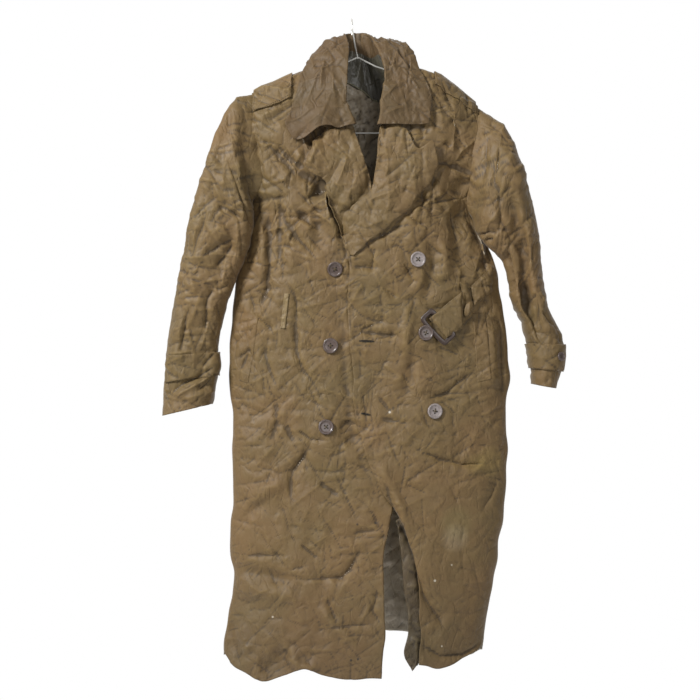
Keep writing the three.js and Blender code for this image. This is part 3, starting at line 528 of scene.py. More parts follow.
def body_depth(side, x, z):
    """How far the cloth stands out of the middle plane; side -1 is the front."""
    depth = read(BODY, "z", "front" if side < 0 else "back", z)
    calm = fullness(x, z, side)
    folds = path_height(FRONT_FOLDS, x, z) if side < 0 else fold_height(BACK_FOLDS, x, z)
    folds = FOLD_LIMIT * np.tanh(1.35 * folds / FOLD_LIMIT)
    return SEAM + depth * calm + folds * smooth(0.05, 0.45, calm)


# hollows in each front just beyond the edge that lies over it
RIGHT_HOLLOWS = [
    (6, -7, 0, [(38, -292), (24, -335), (-12, -372), (-19, -420), (-14, -470)]),
    (5, -2.5, 0, [(-18, -500), (-17, -620), (-9, -720), (0, -780), (22, -852), (62, -925)]),
    (6, -10, 0, [(-100, -286), (-88, -300), (-62, -314), (-57, -350)]),
    (13, -16, 0, [(-90, -232), (-66, -222), (-46, -216)]),
]
LEFT_HOLLOWS = [
    (6, -6, 0, [(158, -240), (163, -270), (160, -298), (132, -338), (104, -370), (74, -399), (34, -433)]),
    (6, -8, 0, [(92, -212), (148, -213)]),
]


def right_front_form(x, z):
    hollow = path_height(RIGHT_HOLLOWS, x, z)
    return np.stack([x, -body_depth(-1, x, z) - hollow, z], -1)


def left_front_form(x, z):
    lift = OVERLAP_LIFT * (1 - smooth(120, 215, x)) + path_height(LEFT_HOLLOWS, x, z)
    return np.stack([x, -body_depth(-1, x, z) - lift, z], -1)


def back_form(x, z):
    return np.stack([x, body_depth(1, x, z), z], -1)


def on_form(form, crumples, x, z, out=0.0):
    """Points of a form with its crumples, moved out by some mm."""
    x, z = np.asarray(x, float), np.asarray(z, float)
    step = 2.5
    across = form(x + step, z) - form(x - step, z)
    down = form(x, z - step) - form(x, z + step)
    normal = np.cross(across, down)
    normal /= np.linalg.norm(normal, axis=-1, keepdims=True) + 1e-9
    p = form(x, z)
    outward = np.where(p[..., 1:2] < 0, -1.0, 1.0)
    normal = np.where(normal[..., 1:2] * outward < 0, -normal, normal)
    return p + normal * (crumples(x, z) + out)[..., None]


def front_crumples(x, z):
    """Livelier at shoulder and chest, calmer down the skirt."""
    much = 0.62 + 0.48 * smooth(-620, -280, z) - 0.12 * smooth(-800, -950, z)
    much = much - 0.16 * smooth(-800, -950, z) * smooth(60, 140, x)
    return much * smooth(0.02, 0.4, fullness(x, z)) * crumple(x, z, 3, 0.2)


def back_crumples(x, z):
    much = 0.62 + 0.4 * smooth(-560, -250, z)
    return much * smooth(0.02, 0.4, fullness(x, z, 1)) * crumple(x, z, 5, -0.2)


def right_front_at(x, z, out=0.0):
    return on_form(right_front_form, front_crumples, x, z, out)


def left_front_at(x, z, out=0.0):
    return on_form(left_front_form, front_crumples, x, z, out)


def back_at(x, z, out=0.0):
    return on_form(back_form, back_crumples, x, z, out)


# %% [markdown]
# ## From a net of points to a shell of cloth
#
# Every cloth piece is a thin closed shell: an outer layer, an inner one just
# over a millimetre behind it, and a narrow rim. The outer layer takes the dyed
# cloth, the inner one the grey coating. Each point also keeps how much it is
# a ridge or a valley, for the painted highlight on ridges and the painted shade
# in valleys.

# %% Shell builder
def grid_normals(grid, loop=False):
    if loop:
        across = np.roll(grid, -1, axis=1) - np.roll(grid, 1, axis=1)
    else:
        across = np.gradient(grid, axis=1)
    normal = np.cross(across, np.gradient(grid, axis=0))
    return normal / (np.linalg.norm(normal, axis=-1, keepdims=True) + 1e-9)


def ridge_of(grid, normal, loop=False):
    """Plus on ridges, minus in valleys, from how the net bends."""
    if loop:
        bend = np.roll(grid, -1, axis=1) + np.roll(grid, 1, axis=1) - 2 * grid
    else:
        bend = np.zeros_like(grid)
        bend[:, 1:-1] = grid[:, 2:] + grid[:, :-2] - 2 * grid[:, 1:-1]
    bend[1:-1] += grid[2:] + grid[:-2] - 2 * grid[1:-1]
    return -(bend * normal).sum(-1)


def shell(name, grid, hidden_side, loop=False, thick=1.1, materials=(), faced=None):
    """A closed shell from a net of points in mm; faced marks outer faces
    that take the third material."""
    rows, columns = grid.shape[:2]
    normal = grid_normals(grid, loop)
    if (normal * hidden_side).sum() > 0:
        normal = -normal
    ridge = ridge_of(grid, normal, loop)
    inner = grid - normal * thick
    points = np.concatenate([grid.reshape(-1, 3), inner.reshape(-1, 3)]) / 1000
    number = np.arange(rows * columns).reshape(rows, columns)
    if loop:
        number = np.concatenate([number, number[:, :1]], axis=1)
    a, b = number[:-1, :-1].ravel(), number[:-1, 1:].ravel()
    c, d = number[1:, 1:].ravel(), number[1:, :-1].ravel()
    under = rows * columns
    outer_faces = np.stack([a, b, c, d], -1)
    inner_faces = np.stack([d, c, b, a], -1) + under
    edges = [(number[0, 1:], number[0, :-1]), (number[-1, :-1], number[-1, 1:])]
    if not loop:
        edges += [(number[:-1, 0], number[1:, 0]), (number[1:, -1], number[:-1, -1])]
    rims = [np.stack([p, q, q + under, p + under], -1) for p, q in edges]
    faces = np.concatenate([outer_faces, inner_faces] + rims)
    slots = np.zeros(len(faces), int)
    slots[len(outer_faces):2 * len(outer_faces)] = min(1, len(materials) - 1)
    if faced is not None:
        slots[:len(outer_faces)][faced.ravel()] = 2
    side = (np.cross(np.gradient(grid, axis=1), np.gradient(grid, axis=0)) * normal).sum()
    if side < 0:
        faces = faces[:, ::-1]
    values = np.concatenate([ridge.ravel(), -ridge.ravel() * 0.5])
    return mesh_piece(name, points, faces, slots, materials, values)


def mesh_piece(name, points, faces, slots, materials, ridge=None, smooth_faces=True):
    mesh = bpy.data.meshes.new(name)
    mesh.vertices.add(len(points))
    mesh.vertices.foreach_set("co", np.asarray(points, np.float32).ravel())
    sides = faces.shape[1]
    mesh.loops.add(faces.size)
    mesh.loops.foreach_set("vertex_index", faces.ravel().astype(np.int32))
    mesh.polygons.add(len(faces))
    mesh.polygons.foreach_set("loop_start", np.arange(0, faces.size, sides, dtype=np.int32))
    for material in materials:
        mesh.materials.append(material)
    mesh.polygons.foreach_set("material_index", np.asarray(slots, np.int32))
    mesh.update(calc_edges=True)
    if smooth_faces:
        mesh.polygons.foreach_set("use_smooth", np.ones(len(faces), bool))
    if ridge is not None:
        layer = mesh.attributes.new("ridge", "FLOAT", "POINT")
        layer.data.foreach_set("value", ridge.astype(np.float32))
    mesh.validate()
    piece = bpy.data.objects.new(name, mesh)
    bpy.context.scene.collection.objects.link(piece)
    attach(piece, "root")
    return piece


def net(across, down, ease=1.0):
    """Shares s and t of a net; ease above 1 packs columns to the first edge."""
    s = np.linspace(0, 1, across + 1) ** ease
    return np.meshgrid(s, np.linspace(0, 1, down + 1))

# %% [markdown]
# ## The cloth's colour and surface
#
# Proofed cotton is a plain weave, about half a millimetre from thread to
# thread, with a faint waxy gloss. Its colour shifts between olive and brown in
# large soft patches, painted sheen. Creases smaller than the net of points come
# from bump: thin grooves that follow the middle value of a stretched noise,
# torn here and there. Their bottom lines are painted darker, painted shade with
# some dirt. Ridges are painted paler as highlight and valleys darker as shade,
# and the cloth is painted darker towards the hem as shade.

# %% Node tools
def linear(hex_colour):
    """An sRGB hex colour as the linear values that shaders take."""
    parts = [int(hex_colour[i:i + 2], 16) / 255 for i in (1, 3, 5)]
    flat = [c / 12.92 if c <= 0.04045 else ((c + 0.055) / 1.055) ** 2.4 for c in parts]
    return (*flat, 1.0)


def node(tree, kind, settings=None, links=None):
    """Adds a node; settings set values or options, links join its inputs."""
    made = tree.nodes.new(kind)
    for key, value in (settings or {}).items():
        if isinstance(key, int) or key in made.inputs:
            made.inputs[key].default_value = value
        else:
            setattr(made, key, value)
    for key, source in (links or {}).items():
        tree.links.new(source, made.inputs[key])
    return made


def new_material(name):
    made = bpy.data.materials.new(name)
    made.use_nodes = True
    return made, made.node_tree, made.node_tree.nodes["Principled BSDF"]


def ramp(tree, source, low, high, out_low=0.0, out_high=1.0):
    settings = {"From Min": low, "From Max": high, "To Min": out_low, "To Max": out_high}
    return node(tree, "ShaderNodeMapRange", settings, {"Value": source}).outputs["Result"]


def mix_colour(tree, factor, a, b, blend="MIX"):
    made = node(tree, "ShaderNodeMix", {"data_type": "RGBA", "blend_type": blend})
    for socket, value in ((0, factor), (6, a), (7, b)):
        if isinstance(value, (tuple, float, int)):
            made.inputs[socket].default_value = value
        else:
            tree.links.new(value, made.inputs[socket])
    return made.outputs[2]


def noise(tree, place, scale, detail=3.0, rough=0.5):
    settings = {"Scale": scale, "Detail": detail, "Roughness": rough}
    return node(tree, "ShaderNodeTexNoise", settings, {"Vector": place})


def bent_place(tree, place, scale, amount):
    """Object coordinates pushed about, so that cells bend and look torn."""
    push = noise(tree, place, scale, 2.0).outputs["Color"]
    centred = node(tree, "ShaderNodeVectorMath", {"operation": "SUBTRACT", 1: (0.5, 0.5, 0.5)},
                   {0: push}).outputs[0]
    small = node(tree, "ShaderNodeVectorMath", {"operation": "SCALE", "Scale": amount},
                 {0: centred}).outputs[0]
    return node(tree, "ShaderNodeVectorMath", {"operation": "ADD"},
                {0: place, 1: small}).outputs[0]


def vector(tree, operation, first, second):
    """Vector maths on a link and a link or a plain triple."""
    plain = isinstance(second, tuple)
    settings = {"operation": operation, **({1: second} if plain else {})}
    return node(tree, "ShaderNodeVectorMath", settings, {0: first, **({} if plain else {1: second})})


def creases(tree, place, size, width, turn, stretch):
    """Thin wandering grooves about size metres apart, flat between them, and
    a mask of the lines along their bottoms; width is a share of the size."""
    turned = node(tree, "ShaderNodeMapping", {"Rotation": turn, "Scale": stretch},
                  {"Vector": place}).outputs[0]
    field = node(tree, "ShaderNodeTexNoise",
                 {"Scale": 1 / size, "Detail": 1.0, "Roughness": 0.4, "Distortion": 0.5},
                 {"Vector": turned}).outputs["Fac"]
    centred = node(tree, "ShaderNodeMath", {"operation": "SUBTRACT", 1: 0.5}, {0: field}).outputs[0]
    off = node(tree, "ShaderNodeMath", {"operation": "ABSOLUTE"}, {0: centred}).outputs[0]
    height = ramp(tree, off, 0.0, width, -size * width, 0.0)
    line = ramp(tree, off, 0.0, width * 0.4, 1.0, 0.0)
    return height, line


def sum_of(tree, *weighted):
    """Sum of sources, each times a number or another source."""
    total = None
    for source, weight in weighted:
        part = node(tree, "ShaderNodeMath", {"operation": "MULTIPLY"}, {0: source})
        if isinstance(weight, (int, float)):
            part.inputs[1].default_value = weight
        else:
            tree.links.new(weight, part.inputs[1])
        part = part.outputs[0]
        if total is not None:
            part = node(tree, "ShaderNodeMath", {"operation": "ADD"}, {0: total, 1: part}).outputs[0]
        total = part
    return total


# %% Cloth materials
# the pale colour serves random mottle and painted highlight on ridges; the darkest one serves random dulling
# and painted shade in valleys, creases and at the hem
OLIVE = linear("#5e4c2a")
BROWN = linear("#674f2d")
PALE = linear("#80693c")
DARK_SHADE_AND_DULL = linear("#2b2115")


def cloth_material(name, olive, brown, pale, dark, gloss, marks=()):
    made, tree, shader = new_material(name)
    place = node(tree, "ShaderNodeTexCoord").outputs["Object"]
    # painted sheen: large soft patches shift the colour between olive and brown
    patches = noise(tree, place, 7.0, 4.0, 0.6).outputs["Fac"]
    colour = mix_colour(tree, ramp(tree, patches, 0.34, 0.66), olive, brown)
    mottle = noise(tree, place, 55.0, 4.0, 0.65).outputs["Fac"]
    colour = mix_colour(tree, ramp(tree, mottle, 0.3, 0.75, 0.0, 0.06), colour, pale)
    dull = noise(tree, place, 16.0, 3.0, 0.6).outputs["Fac"]
    colour = mix_colour(tree, ramp(tree, dull, 0.55, 0.8, 0.0, 0.14), colour, dark)
    ridge = node(tree, "ShaderNodeAttribute", {"attribute_name": "ridge"}).outputs["Fac"]
    # painted highlight on the ridges, painted shade in the valleys
    colour = mix_colour(tree, ramp(tree, ridge, 0.2, 1.8, 0.0, 0.3), colour, pale)
    colour = mix_colour(tree, ramp(tree, ridge, -0.2, -1.8, 0.0, 0.55), colour, dark)
    broad, broad_line = creases(tree, place, 0.052, 0.035, (0.2, 0.6, 0.1), (1.0, 1.0, 0.62))
    small, small_line = creases(tree, place, 0.03, 0.05, (0.1, -0.7, 0.4), (1.0, 1.0, 0.6))
    cross, cross_line = creases(tree, place, 0.026, 0.055, (0.3, 1.3, 0.2), (1.0, 1.0, 0.55))
    tiny, tiny_line = creases(tree, place, 0.012, 0.1, (0.5, 1.4, 0.3), (1.0, 1.0, 0.7))
    torn = ramp(tree, noise(tree, place, 30.0, 2.0).outputs["Fac"], 0.46, 0.56)
    torn_more = ramp(tree, noise(tree, place, 44.0, 2.0).outputs["Fac"], 0.54, 0.44)
    torn_most = ramp(tree, noise(tree, place, 37.0, 2.0).outputs["Fac"], 0.5, 0.6)
    lines = sum_of(tree, (broad_line, torn), (small_line, torn_more), (cross_line, torn_most))
    lines = sum_of(tree, (lines, 0.18), (tiny_line, 0.04))
    # painted shade with some dirt: the bottoms of the bump creases are darkened
    colour = mix_colour(tree, lines, colour, dark)
    # painted shade: the cloth darkens towards the hem, from one metre under the hook down
    height_for_hem_shade = node(tree, "ShaderNodeSeparateXYZ", {}, {0: place}).outputs["Z"]
    colour = mix_colour(tree, ramp(tree, height_for_hem_shade, -1.0, -1.24, 0.0, 0.26), colour, dark)
    for mark in marks:
        colour = spot(tree, place, colour, *mark)
    tree.links.new(colour, shader.inputs["Base Color"])

    weave = noise(tree, place, 1500.0, 1.0).outputs["Fac"]
    grooves = sum_of(tree, (broad, torn), (small, torn_more), (cross, torn_most))
    height = sum_of(tree, (grooves, 0.4), (tiny, 0.2), (weave, 0.00008))
    bump = node(tree, "ShaderNodeBump", {"Strength": 0.9, "Distance": 1.0}, {"Height": height})
    tree.links.new(bump.outputs["Normal"], shader.inputs["Normal"])

    shine = ramp(tree, noise(tree, place, 30.0, 3.0).outputs["Fac"], 0.3, 0.7, gloss - 0.07, gloss + 0.08)
    tree.links.new(shine, shader.inputs["Roughness"])
    shader.inputs["IOR"].default_value = 1.47
    shader.inputs["Sheen Weight"].default_value = 0.08
    return made


def spot(tree, place, colour, x, z, radius, tint, strength, front=True):
    """A small round mark on the cloth at x, z, in mm."""
    flat = node(tree, "ShaderNodeVectorMath", {"operation": "MULTIPLY", 1: (1, 0, 1)},
                {0: place}).outputs[0]
    far = node(tree, "ShaderNodeVectorMath", {"operation": "DISTANCE", 1: (x / 1000, 0, z / 1000)},
               {0: flat}).outputs["Value"]
    r = radius / 1000
    near = ramp(tree, far, r * 1.25, r * 0.6, 0.0, strength)
    return mix_colour(tree, near, colour, tint)


# %% [markdown]
# Marks on the fronts: a few dark pinholes and flecks of pale dirt, a rubbed
# pale patch low on the left front and a yellowish stain beside it.

# %% Marks and the two cloths
DARK_SPOT = linear("#1d1812")
WHITE_SPOT = linear("#cfc8b8")
RIGHT_MARKS = [
    (-203, -403, 3.2, DARK_SPOT, 0.95),
    (-2, -1203, 2.4, DARK_SPOT, 0.9),
    (11, -1201, 2.2, DARK_SPOT, 0.9),
    (10, -952, 2.2, DARK_SPOT, 0.8),
    (44, -950, 2.2, DARK_SPOT, 0.8),
    (-148, -1125, 2.0, WHITE_SPOT, 0.45),
]
LEFT_MARKS = [
    (70, -743, 2.2, WHITE_SPOT, 0.55),
    (89, -971, 2.0, WHITE_SPOT, 0.6),
    (154, -1056, 2.4, WHITE_SPOT, 0.55),
    (186, -1028, 1.8, WHITE_SPOT, 0.4),
    (167, -1178, 1.8, WHITE_SPOT, 0.4),
    (192, -978, 24, linear("#a8987c"), 0.2),
    (260, -836, 26, linear("#8f7c3f"), 0.18),
    (232, -842, 20, linear("#8f7c3f"), 0.14),
    (196, -950, 30, linear("#7a7a4c"), 0.13),
]

CLOTH = cloth_material("proofed cotton", OLIVE, BROWN, PALE, DARK_SHADE_AND_DULL, 0.64)
# painted shade: the collar takes a darker copy of the cloth, toning down the light it catches
SHADED_COLLAR_CLOTH = cloth_material("proofed cotton collar in painted shade", linear("#4d3d20"), linear("#543e21"), linear("#69522d"),
                              DARK_SHADE_AND_DULL, 0.66)
CLOTH_RIGHT = cloth_material("proofed cotton right", OLIVE, BROWN, PALE, DARK_SHADE_AND_DULL, 0.64, RIGHT_MARKS)
CLOTH_LEFT = cloth_material("proofed cotton left", OLIVE, BROWN, PALE, DARK_SHADE_AND_DULL, 0.64, LEFT_MARKS)
# painted light: the grey coating is coloured much paler than it is, making up for the little light that
# reaches inside the coat
LINING = cloth_material("rubbered inside", linear("#a09685"), linear("#a99a83"), linear("#c2b7a6"),
                        linear("#2c2823"), 0.4)
# painted highlight: a paler copy of the cloth for the raised belt loop
LOOP_HIGHLIGHT_CLOTH = cloth_material("cotton in painted highlight", linear("#736240"), linear("#786341"), linear("#8c7850"),
                            linear("#4a3c26"), 0.6)
# painted shade: the slipped facing takes a darker copy of the cloth, as it lies behind the edge
FACING_SHADE_CLOTH = cloth_material("front facing in painted shade", linear("#463a24"), linear("#4b3c27"), linear("#62532f"),
                              linear("#1d1710"), 0.6)
# painted shade: a dark greenish colour for the inside of the collar stand
STAND_SHADE_CLOTH = cloth_material("collar stand in painted shade", linear("#474438"), linear("#4f4b3f"), linear("#7a7565"),
                             linear("#22221a"), 0.34)
print("cloth materials", [m.name for m in bpy.data.materials])

# %% [markdown]
# ## The fronts and the back
#
# The right front lies under the left one, so its lower half only shows beside
# the split. Its edge runs from the neck seam down the roll line of the lapel
# and on below the left front. The left front's edge swings away to the wearer's
# left below the last buttonhole, and there the grey inside of the back shows.

# %% Pattern edges of the body
XZ = "x z"
def shoulder_line(low, high):
    return [(x, z) for x, z in zip(SHOULDER["x"], SHOULDER["z"]) if low <= x <= high]


RIGHT_EDGE = [
    (-47, -85), (-37, -138), (-20, -186), (2, -208), (8, -228), (21, -266), (34, -304),
    (44, -345), (66, -392), (84, -440), (93, -520), (95, -700), (90, -850), (72, -940),
    (62, -995), (60, -1050), (61, -1140), (55, -1237),
]
LEFT_EDGE = [
    (78, -88), (80, -125), (74, -158), (66, -186), (54, -210), (49, -228), (44, -290),
    (37, -325), (20, -345), (-3, -363), (-11, -395), (-12, -430), (-7, -456), (-9, -532),
    (-4, -614), (1, -684), (6, -755), (20, -807), (38, -850), (62, -903), (84, -934),
    (104, -975), (120, -1037), (127, -1123), (124, -1211),
]
RIGHT_HEM = [
    (-243, -1200), (-222, -1222), (-200, -1233), (-165, -1243), (-127, -1231), (-89, -1218),
    (-51, -1231), (-10, -1239), (55, -1237),
]
LEFT_HEM = [
    (250, -1168), (236, -1190), (203, -1206), (180, -1216), (158, -1220), (140, -1214),
    (124, -1211),
]
BACK_HEM = [
    (-243, -1206), (-180, -1200), (-90, -1182), (30, -1166), (140, -1180), (220, -1212),
    (245, -1196),
]
NECKLINE = [
    (-190, -140), (-150, -121), (-104, -100), (-47, -86), (-38, -100), (-10, -112),
    (20, -128), (42, -146), (60, -150), (74, -110), (79, -89), (124, -95), (169, -108),
    (215, -143), (239, -164),
]

FRONT_SIDE = np.array([0.0, 1.0, 0.0])
BACK_SIDE = np.array([0.0, -1.0, 0.0])


def body_panel(name, edges, at, across, down, ease, hidden_side, materials):
    s, t = net(across, down, ease)
    lines = [run_through(rows) for rows in edges]
    lines[1:] = [wavy(line) for line in lines[1:]]
    flat = pattern(*lines, s, t)
    grid = at(flat[..., 0], flat[..., 1])
    piece = shell(name, grid, hidden_side, materials=materials)
    print(name, len(piece.data.polygons), "faces")
    return piece


right_front = body_panel(
    "right_front",
    (shoulder_line(-190, -47), RIGHT_HEM,
     RIGHT_ARMHOLE + side_seam("left", -341, FRONT_FEET[0]), RIGHT_EDGE),
    right_front_at, 112, 390, 1.25, FRONT_SIDE, (CLOTH_RIGHT, LINING))
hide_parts("front_right")

left_front = body_panel(
    "left_front",
    (shoulder_line(78, 239)[::-1], LEFT_HEM,
     LEFT_ARMHOLE + side_seam("right", -375, FRONT_FEET[1]), LEFT_EDGE),
    left_front_at, 112, 385, 1.25, FRONT_SIDE, (CLOTH_LEFT, LINING))
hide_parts("front_left")

back = body_panel(
    "back_panel",
    (NECKLINE, BACK_HEM,
     RIGHT_ARMHOLE + side_seam("left", -341, BACK_FEET[0]),
     LEFT_ARMHOLE + side_seam("right", -375, BACK_FEET[1])),
    back_at, 140, 260, 1.0, BACK_SIDE, (CLOTH, LINING))
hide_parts("back")

# %% [markdown]
# The facing of the left front has slipped out below the last buttonhole: a
# narrow band behind the edge, which ends in a loose tongue at the hem. It takes
# a darker copy of the cloth, painted shade.

# %% Loose facing
FACING_EDGE = [
    (82, -945), (91, -988), (97, -1064), (104, -1110), (104, -1150), (99, -1195), (112, -1224),
]
FACING_BEHIND = [(104, -930), (126, -975), (142, -1037), (148, -1123), (142, -1180), (122, -1214)]


def facing_at(x, z):
    p = left_front_form(x, z)
    p[..., 1] += 12 + 0.8 * crumple(x, z, 71, 0.9) - 4 * smooth(-1100, -1200, z)
    return p


facing = body_panel(
    "left_facing",
    ([(82, -945), (104, -930)], [(112, -1224), (122, -1214)], FACING_EDGE, FACING_BEHIND),
    facing_at, 14, 110, 1.0, FRONT_SIDE, (FACING_SHADE_CLOTH, LINING))

# %% [markdown]
# ## Sleeves
#
# Each sleeve is one tube, set on the armhole. It first stands out from the
# shoulder, then hangs, and the folds run slantwise from the underarm. The left
# one is turned edge-on, so it looks narrow, with one long dark fold down it.

# %% Sleeves
RING = "out_x out_z in_x in_z forward depth"
RIGHT_RINGS = table(RING, [
    (-219, -148, -188, -350, -6, 44),
    (-241, -182, -184, -368, -20, 46),
    (-256, -220, -184, -388, -30, 44),
    (-270, -262, -187, -411, -33, 43),
    (-284, -305, -193, -436, -33, 42),
    (-299, -352, -203, -460, -32, 41),
    (-313, -405, -214, -484, -29, 40),
    (-324, -460, -225, -509, -24, 39),
    (-335, -520, -236, -538, -18, 38),
    (-344, -575, -245, -580, -16, 37),
    (-349, -625, -254, -620, -16, 36),
    (-355, -668, -252, -656, -16, 37),
    (-357, -710, -259, -692, -16, 38),
    (-357, -751, -264, -728, -16, 38),
])
LEFT_RINGS = table(RING, [
    (262, -182, 228, -388, -6, 46),
    (285, -201, 232, -404, -22, 48),
    (306, -236, 242, -420, -33, 46),
    (318, -277, 256, -436, -33, 45),
    (331, -322, 272, -450, -30, 44),
    (346, -368, 283, -464, -26, 43),
    (354, -412, 289, -481, -22, 42),
    (357, -456, 293, -502, -18, 42),
    (364, -500, 297, -526, -16, 42),
    (370, -545, 307, -552, -16, 42),
    (384, -573, 320, -574, -16, 41),
    (396, -597, 326, -598, -16, 40),
    (401, -630, 334, -626, -16, 40),
    (397, -664, 338, -658, -16, 40),
    (387, -700, 338, -691, -16, 40),
])
SLEEVE_FOLD = "place angle long wide push"
RIGHT_SLEEVE_FOLDS = table(SLEEVE_FOLD, [
    (4, 1.2, 0.9, 0.35, 6),
    (7, 1.9, 1.2, 0.3, 7),
    (9.5, 1.1, 1.1, 0.35, -5),
    (11.5, 1.8, 0.9, 0.35, 6),
    (6, 4.6, 1.5, 0.4, -6),
    (10, 4.9, 1.3, 0.4, 6),
])
LEFT_SLEEVE_FOLDS = table(SLEEVE_FOLD, [
    (6.5, 1.75, 1.5, 0.22, 13),
    (9.5, 1.75, 1.4, 0.22, 13),
    (3.5, 1.0, 0.9, 0.35, -5),
    (12.5, 1.3, 0.9, 0.35, 5),
    (6, 4.6, 1.5, 0.4, -6),
    (10.5, 4.8, 1.3, 0.4, 6),
])


def signed_power(value):
    return np.sign(value) * np.abs(value) ** (2 / 2.3)


def sleeve_form(armhole, outwards, rings, folds, place, angle):
    """Points of a sleeve: place counts rings from the armhole, angle runs
    from the outer outline over the front to the inner one and back behind."""
    line = wavy(run_through(armhole))
    turn = np.where(angle <= np.pi, angle, 2 * np.pi - angle)
    arm = line((1 - np.cos(turn)) / 2)
    front_at = right_front_at if outwards < 0 else left_front_at
    on_front = front_at(arm[..., 0], arm[..., 1], -2.2)
    on_back = back_at(arm[..., 0], arm[..., 1], -2.2)
    start = np.where((angle <= np.pi)[..., None], on_front, on_back)
    start[..., 0] -= outwards * 2.5
    start[..., 1] *= np.maximum(np.sin(turn), 0) ** 0.12
    count = len(rings["depth"])
    at = {k: np.interp(place, np.arange(1, count + 1), v) for k, v in rings.items()}
    along = (1 - signed_power(np.cos(angle))) / 2
    x = at["out_x"] + (at["in_x"] - at["out_x"]) * along
    z = at["out_z"] + (at["in_z"] - at["out_z"]) * along
    ring = np.stack([x, at["forward"] - at["depth"] * signed_power(np.sin(angle)), z], -1)
    blend = np.clip(place, 0, 1)[..., None]
    p = start * (1 - blend) + ring * blend
    for fold_place, fold_angle, long, wide, push in zip(*folds.values()):
        far = np.hypot((place - fold_place) / long, (angle - fold_angle) / wide)
        p[..., 1] += push * np.exp(-0.5 * far * far)
    return p


# folds in mm round the tube from its outer outline, and down from the armhole
RIGHT_SLEEVE_PATHS = [
    (6, -8, 1, [(88, 185), (70, 215), (58, 240)]),
    (5.5, -8, 1, [(88, 250), (72, 300), (58, 350)]),
    (5.5, -8, 1, [(88, 260), (84, 310), (78, 350)]),
    (8, 6, 0, [(78, 250), (64, 300)]),
    (5.5, -7, 1, [(80, 375), (80, 440), (84, 480)]),
    (5, -6, 1, [(58, 430), (52, 480), (48, 520)]),
    (5, -6, 1, [(70, 100), (60, 150)]),
    (8, -7, 0, [(70, 130), (100, 140), (125, 150)]),
    (6, -7, 1, [(112, 520), (80, 552)]),
    (5, -6, 1, [(108, 552), (66, 580), (38, 604)]),
    (5, 5, 1, [(112, 566), (74, 592), (48, 614)]),
    (5, -5, 1, [(110, 582), (80, 606)]),
    (12, -8, 0, [(30, 60), (40, 180)]),
    (10, -8, 0, [(190, 120), (200, 330)]),
    (10, -8, 0, [(230, 300), (215, 560)]),
]
LEFT_SLEEVE_PATHS = [
    (6, -11, 0, [(61, 138), (64, 230), (67, 327), (78, 440), (86, 534), (72, 598)]),
    (11, -8, 0, [(104, 240), (104, 420)]),
    (9, 7, 0, [(70, 230), (72, 420)]),
    (5.5, -8, 1, [(126, 110), (104, 150), (88, 200)]),
    (5.5, -7, 1, [(122, 150), (104, 185)]),
    (5, -6, 1, [(62, 70), (70, 150)]),
    (5, -6, 1, [(46, 90), (66, 110)]),
    (5, -6, 1, [(36, 320), (56, 360)]),
    (5, -6, 1, [(50, 470), (30, 520)]),
    (10, -8, 0, [(190, 120), (200, 330)]),
    (10, -8, 0, [(230, 300), (215, 560)]),
]


def sleeve_crumples(sleeve, place, angle, seed, lean):
    """Crumples by place on the form, front and back crossing over at its sides."""
    paths = RIGHT_SLEEVE_PATHS if seed == 11 else LEFT_SLEEVE_PATHS
    own = path_height(paths, angle * 42, place * 46)
    p = sleeve_form(*sleeve, place, angle)
    x, z = p[..., 0], p[..., 2]
    front = crumple(x, z, seed, lean, SLEEVE_AREAS[seed])
    behind = crumple(x, z, seed + 1, lean, SLEEVE_AREAS[seed])
    w = smooth(-0.3, 0.3, np.sin(angle))
    calm = 0.45 + 0.55 * smooth(0, 0.6, np.abs(np.sin(angle)))
    return (front * w + behind * (1 - w)) * calm * smooth(0, 0.8, place) + 1.4 * own


SLEEVE_AREAS = {11: (-370, -160, -770, -130), 13: (210, 410, -720, -160)}
RIGHT_SLEEVE = (RIGHT_ARMHOLE, -1, RIGHT_RINGS, RIGHT_SLEEVE_FOLDS)
LEFT_SLEEVE = (LEFT_ARMHOLE, 1, LEFT_RINGS, LEFT_SLEEVE_FOLDS)


def sleeve_at(sleeve, seed, lean, place, angle, out=0.0):
    d = 0.03
    u = sleeve_form(*sleeve, place, angle + d) - sleeve_form(*sleeve, place, angle - d)
    low, high = np.clip(place - 0.1, 0, 99), place + 0.1
    v = sleeve_form(*sleeve, high, angle) - sleeve_form(*sleeve, low, angle)
    normal = np.cross(u, v)
    normal /= np.linalg.norm(normal, axis=-1, keepdims=True) + 1e-9
    p = sleeve_form(*sleeve, place, angle)
    middle = (p + sleeve_form(*sleeve, place, (angle + np.pi) % (2 * np.pi))) / 2
    normal = np.where(((p - middle) * normal).sum(-1, keepdims=True) < 0, -normal, normal)
    return p + normal * (sleeve_crumples(sleeve, place, angle, seed, lean) * 0.9 + out)[..., None]


def sleeve_piece(name, sleeve, seed, lean):
    count = len(sleeve[2]["depth"])
    angles = np.linspace(0, 2 * np.pi, 137)[:-1]
    places = np.linspace(0, count, 226)
    angle, place = np.meshgrid(angles, places)
    grid = sleeve_at(sleeve, seed, lean, place, angle)
    inside = grid.mean(axis=1, keepdims=True) - grid
    piece = shell(name, grid, inside, loop=True, materials=(CLOTH, LINING))
    print(name, len(piece.data.polygons), "faces")
    return piece


right_sleeve = sleeve_piece("right_sleeve", RIGHT_SLEEVE, 11, 0.5)
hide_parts("sleeve_right")
left_sleeve = sleeve_piece("left_sleeve", LEFT_SLEEVE, 13, -0.5)
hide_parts("sleeve_left")
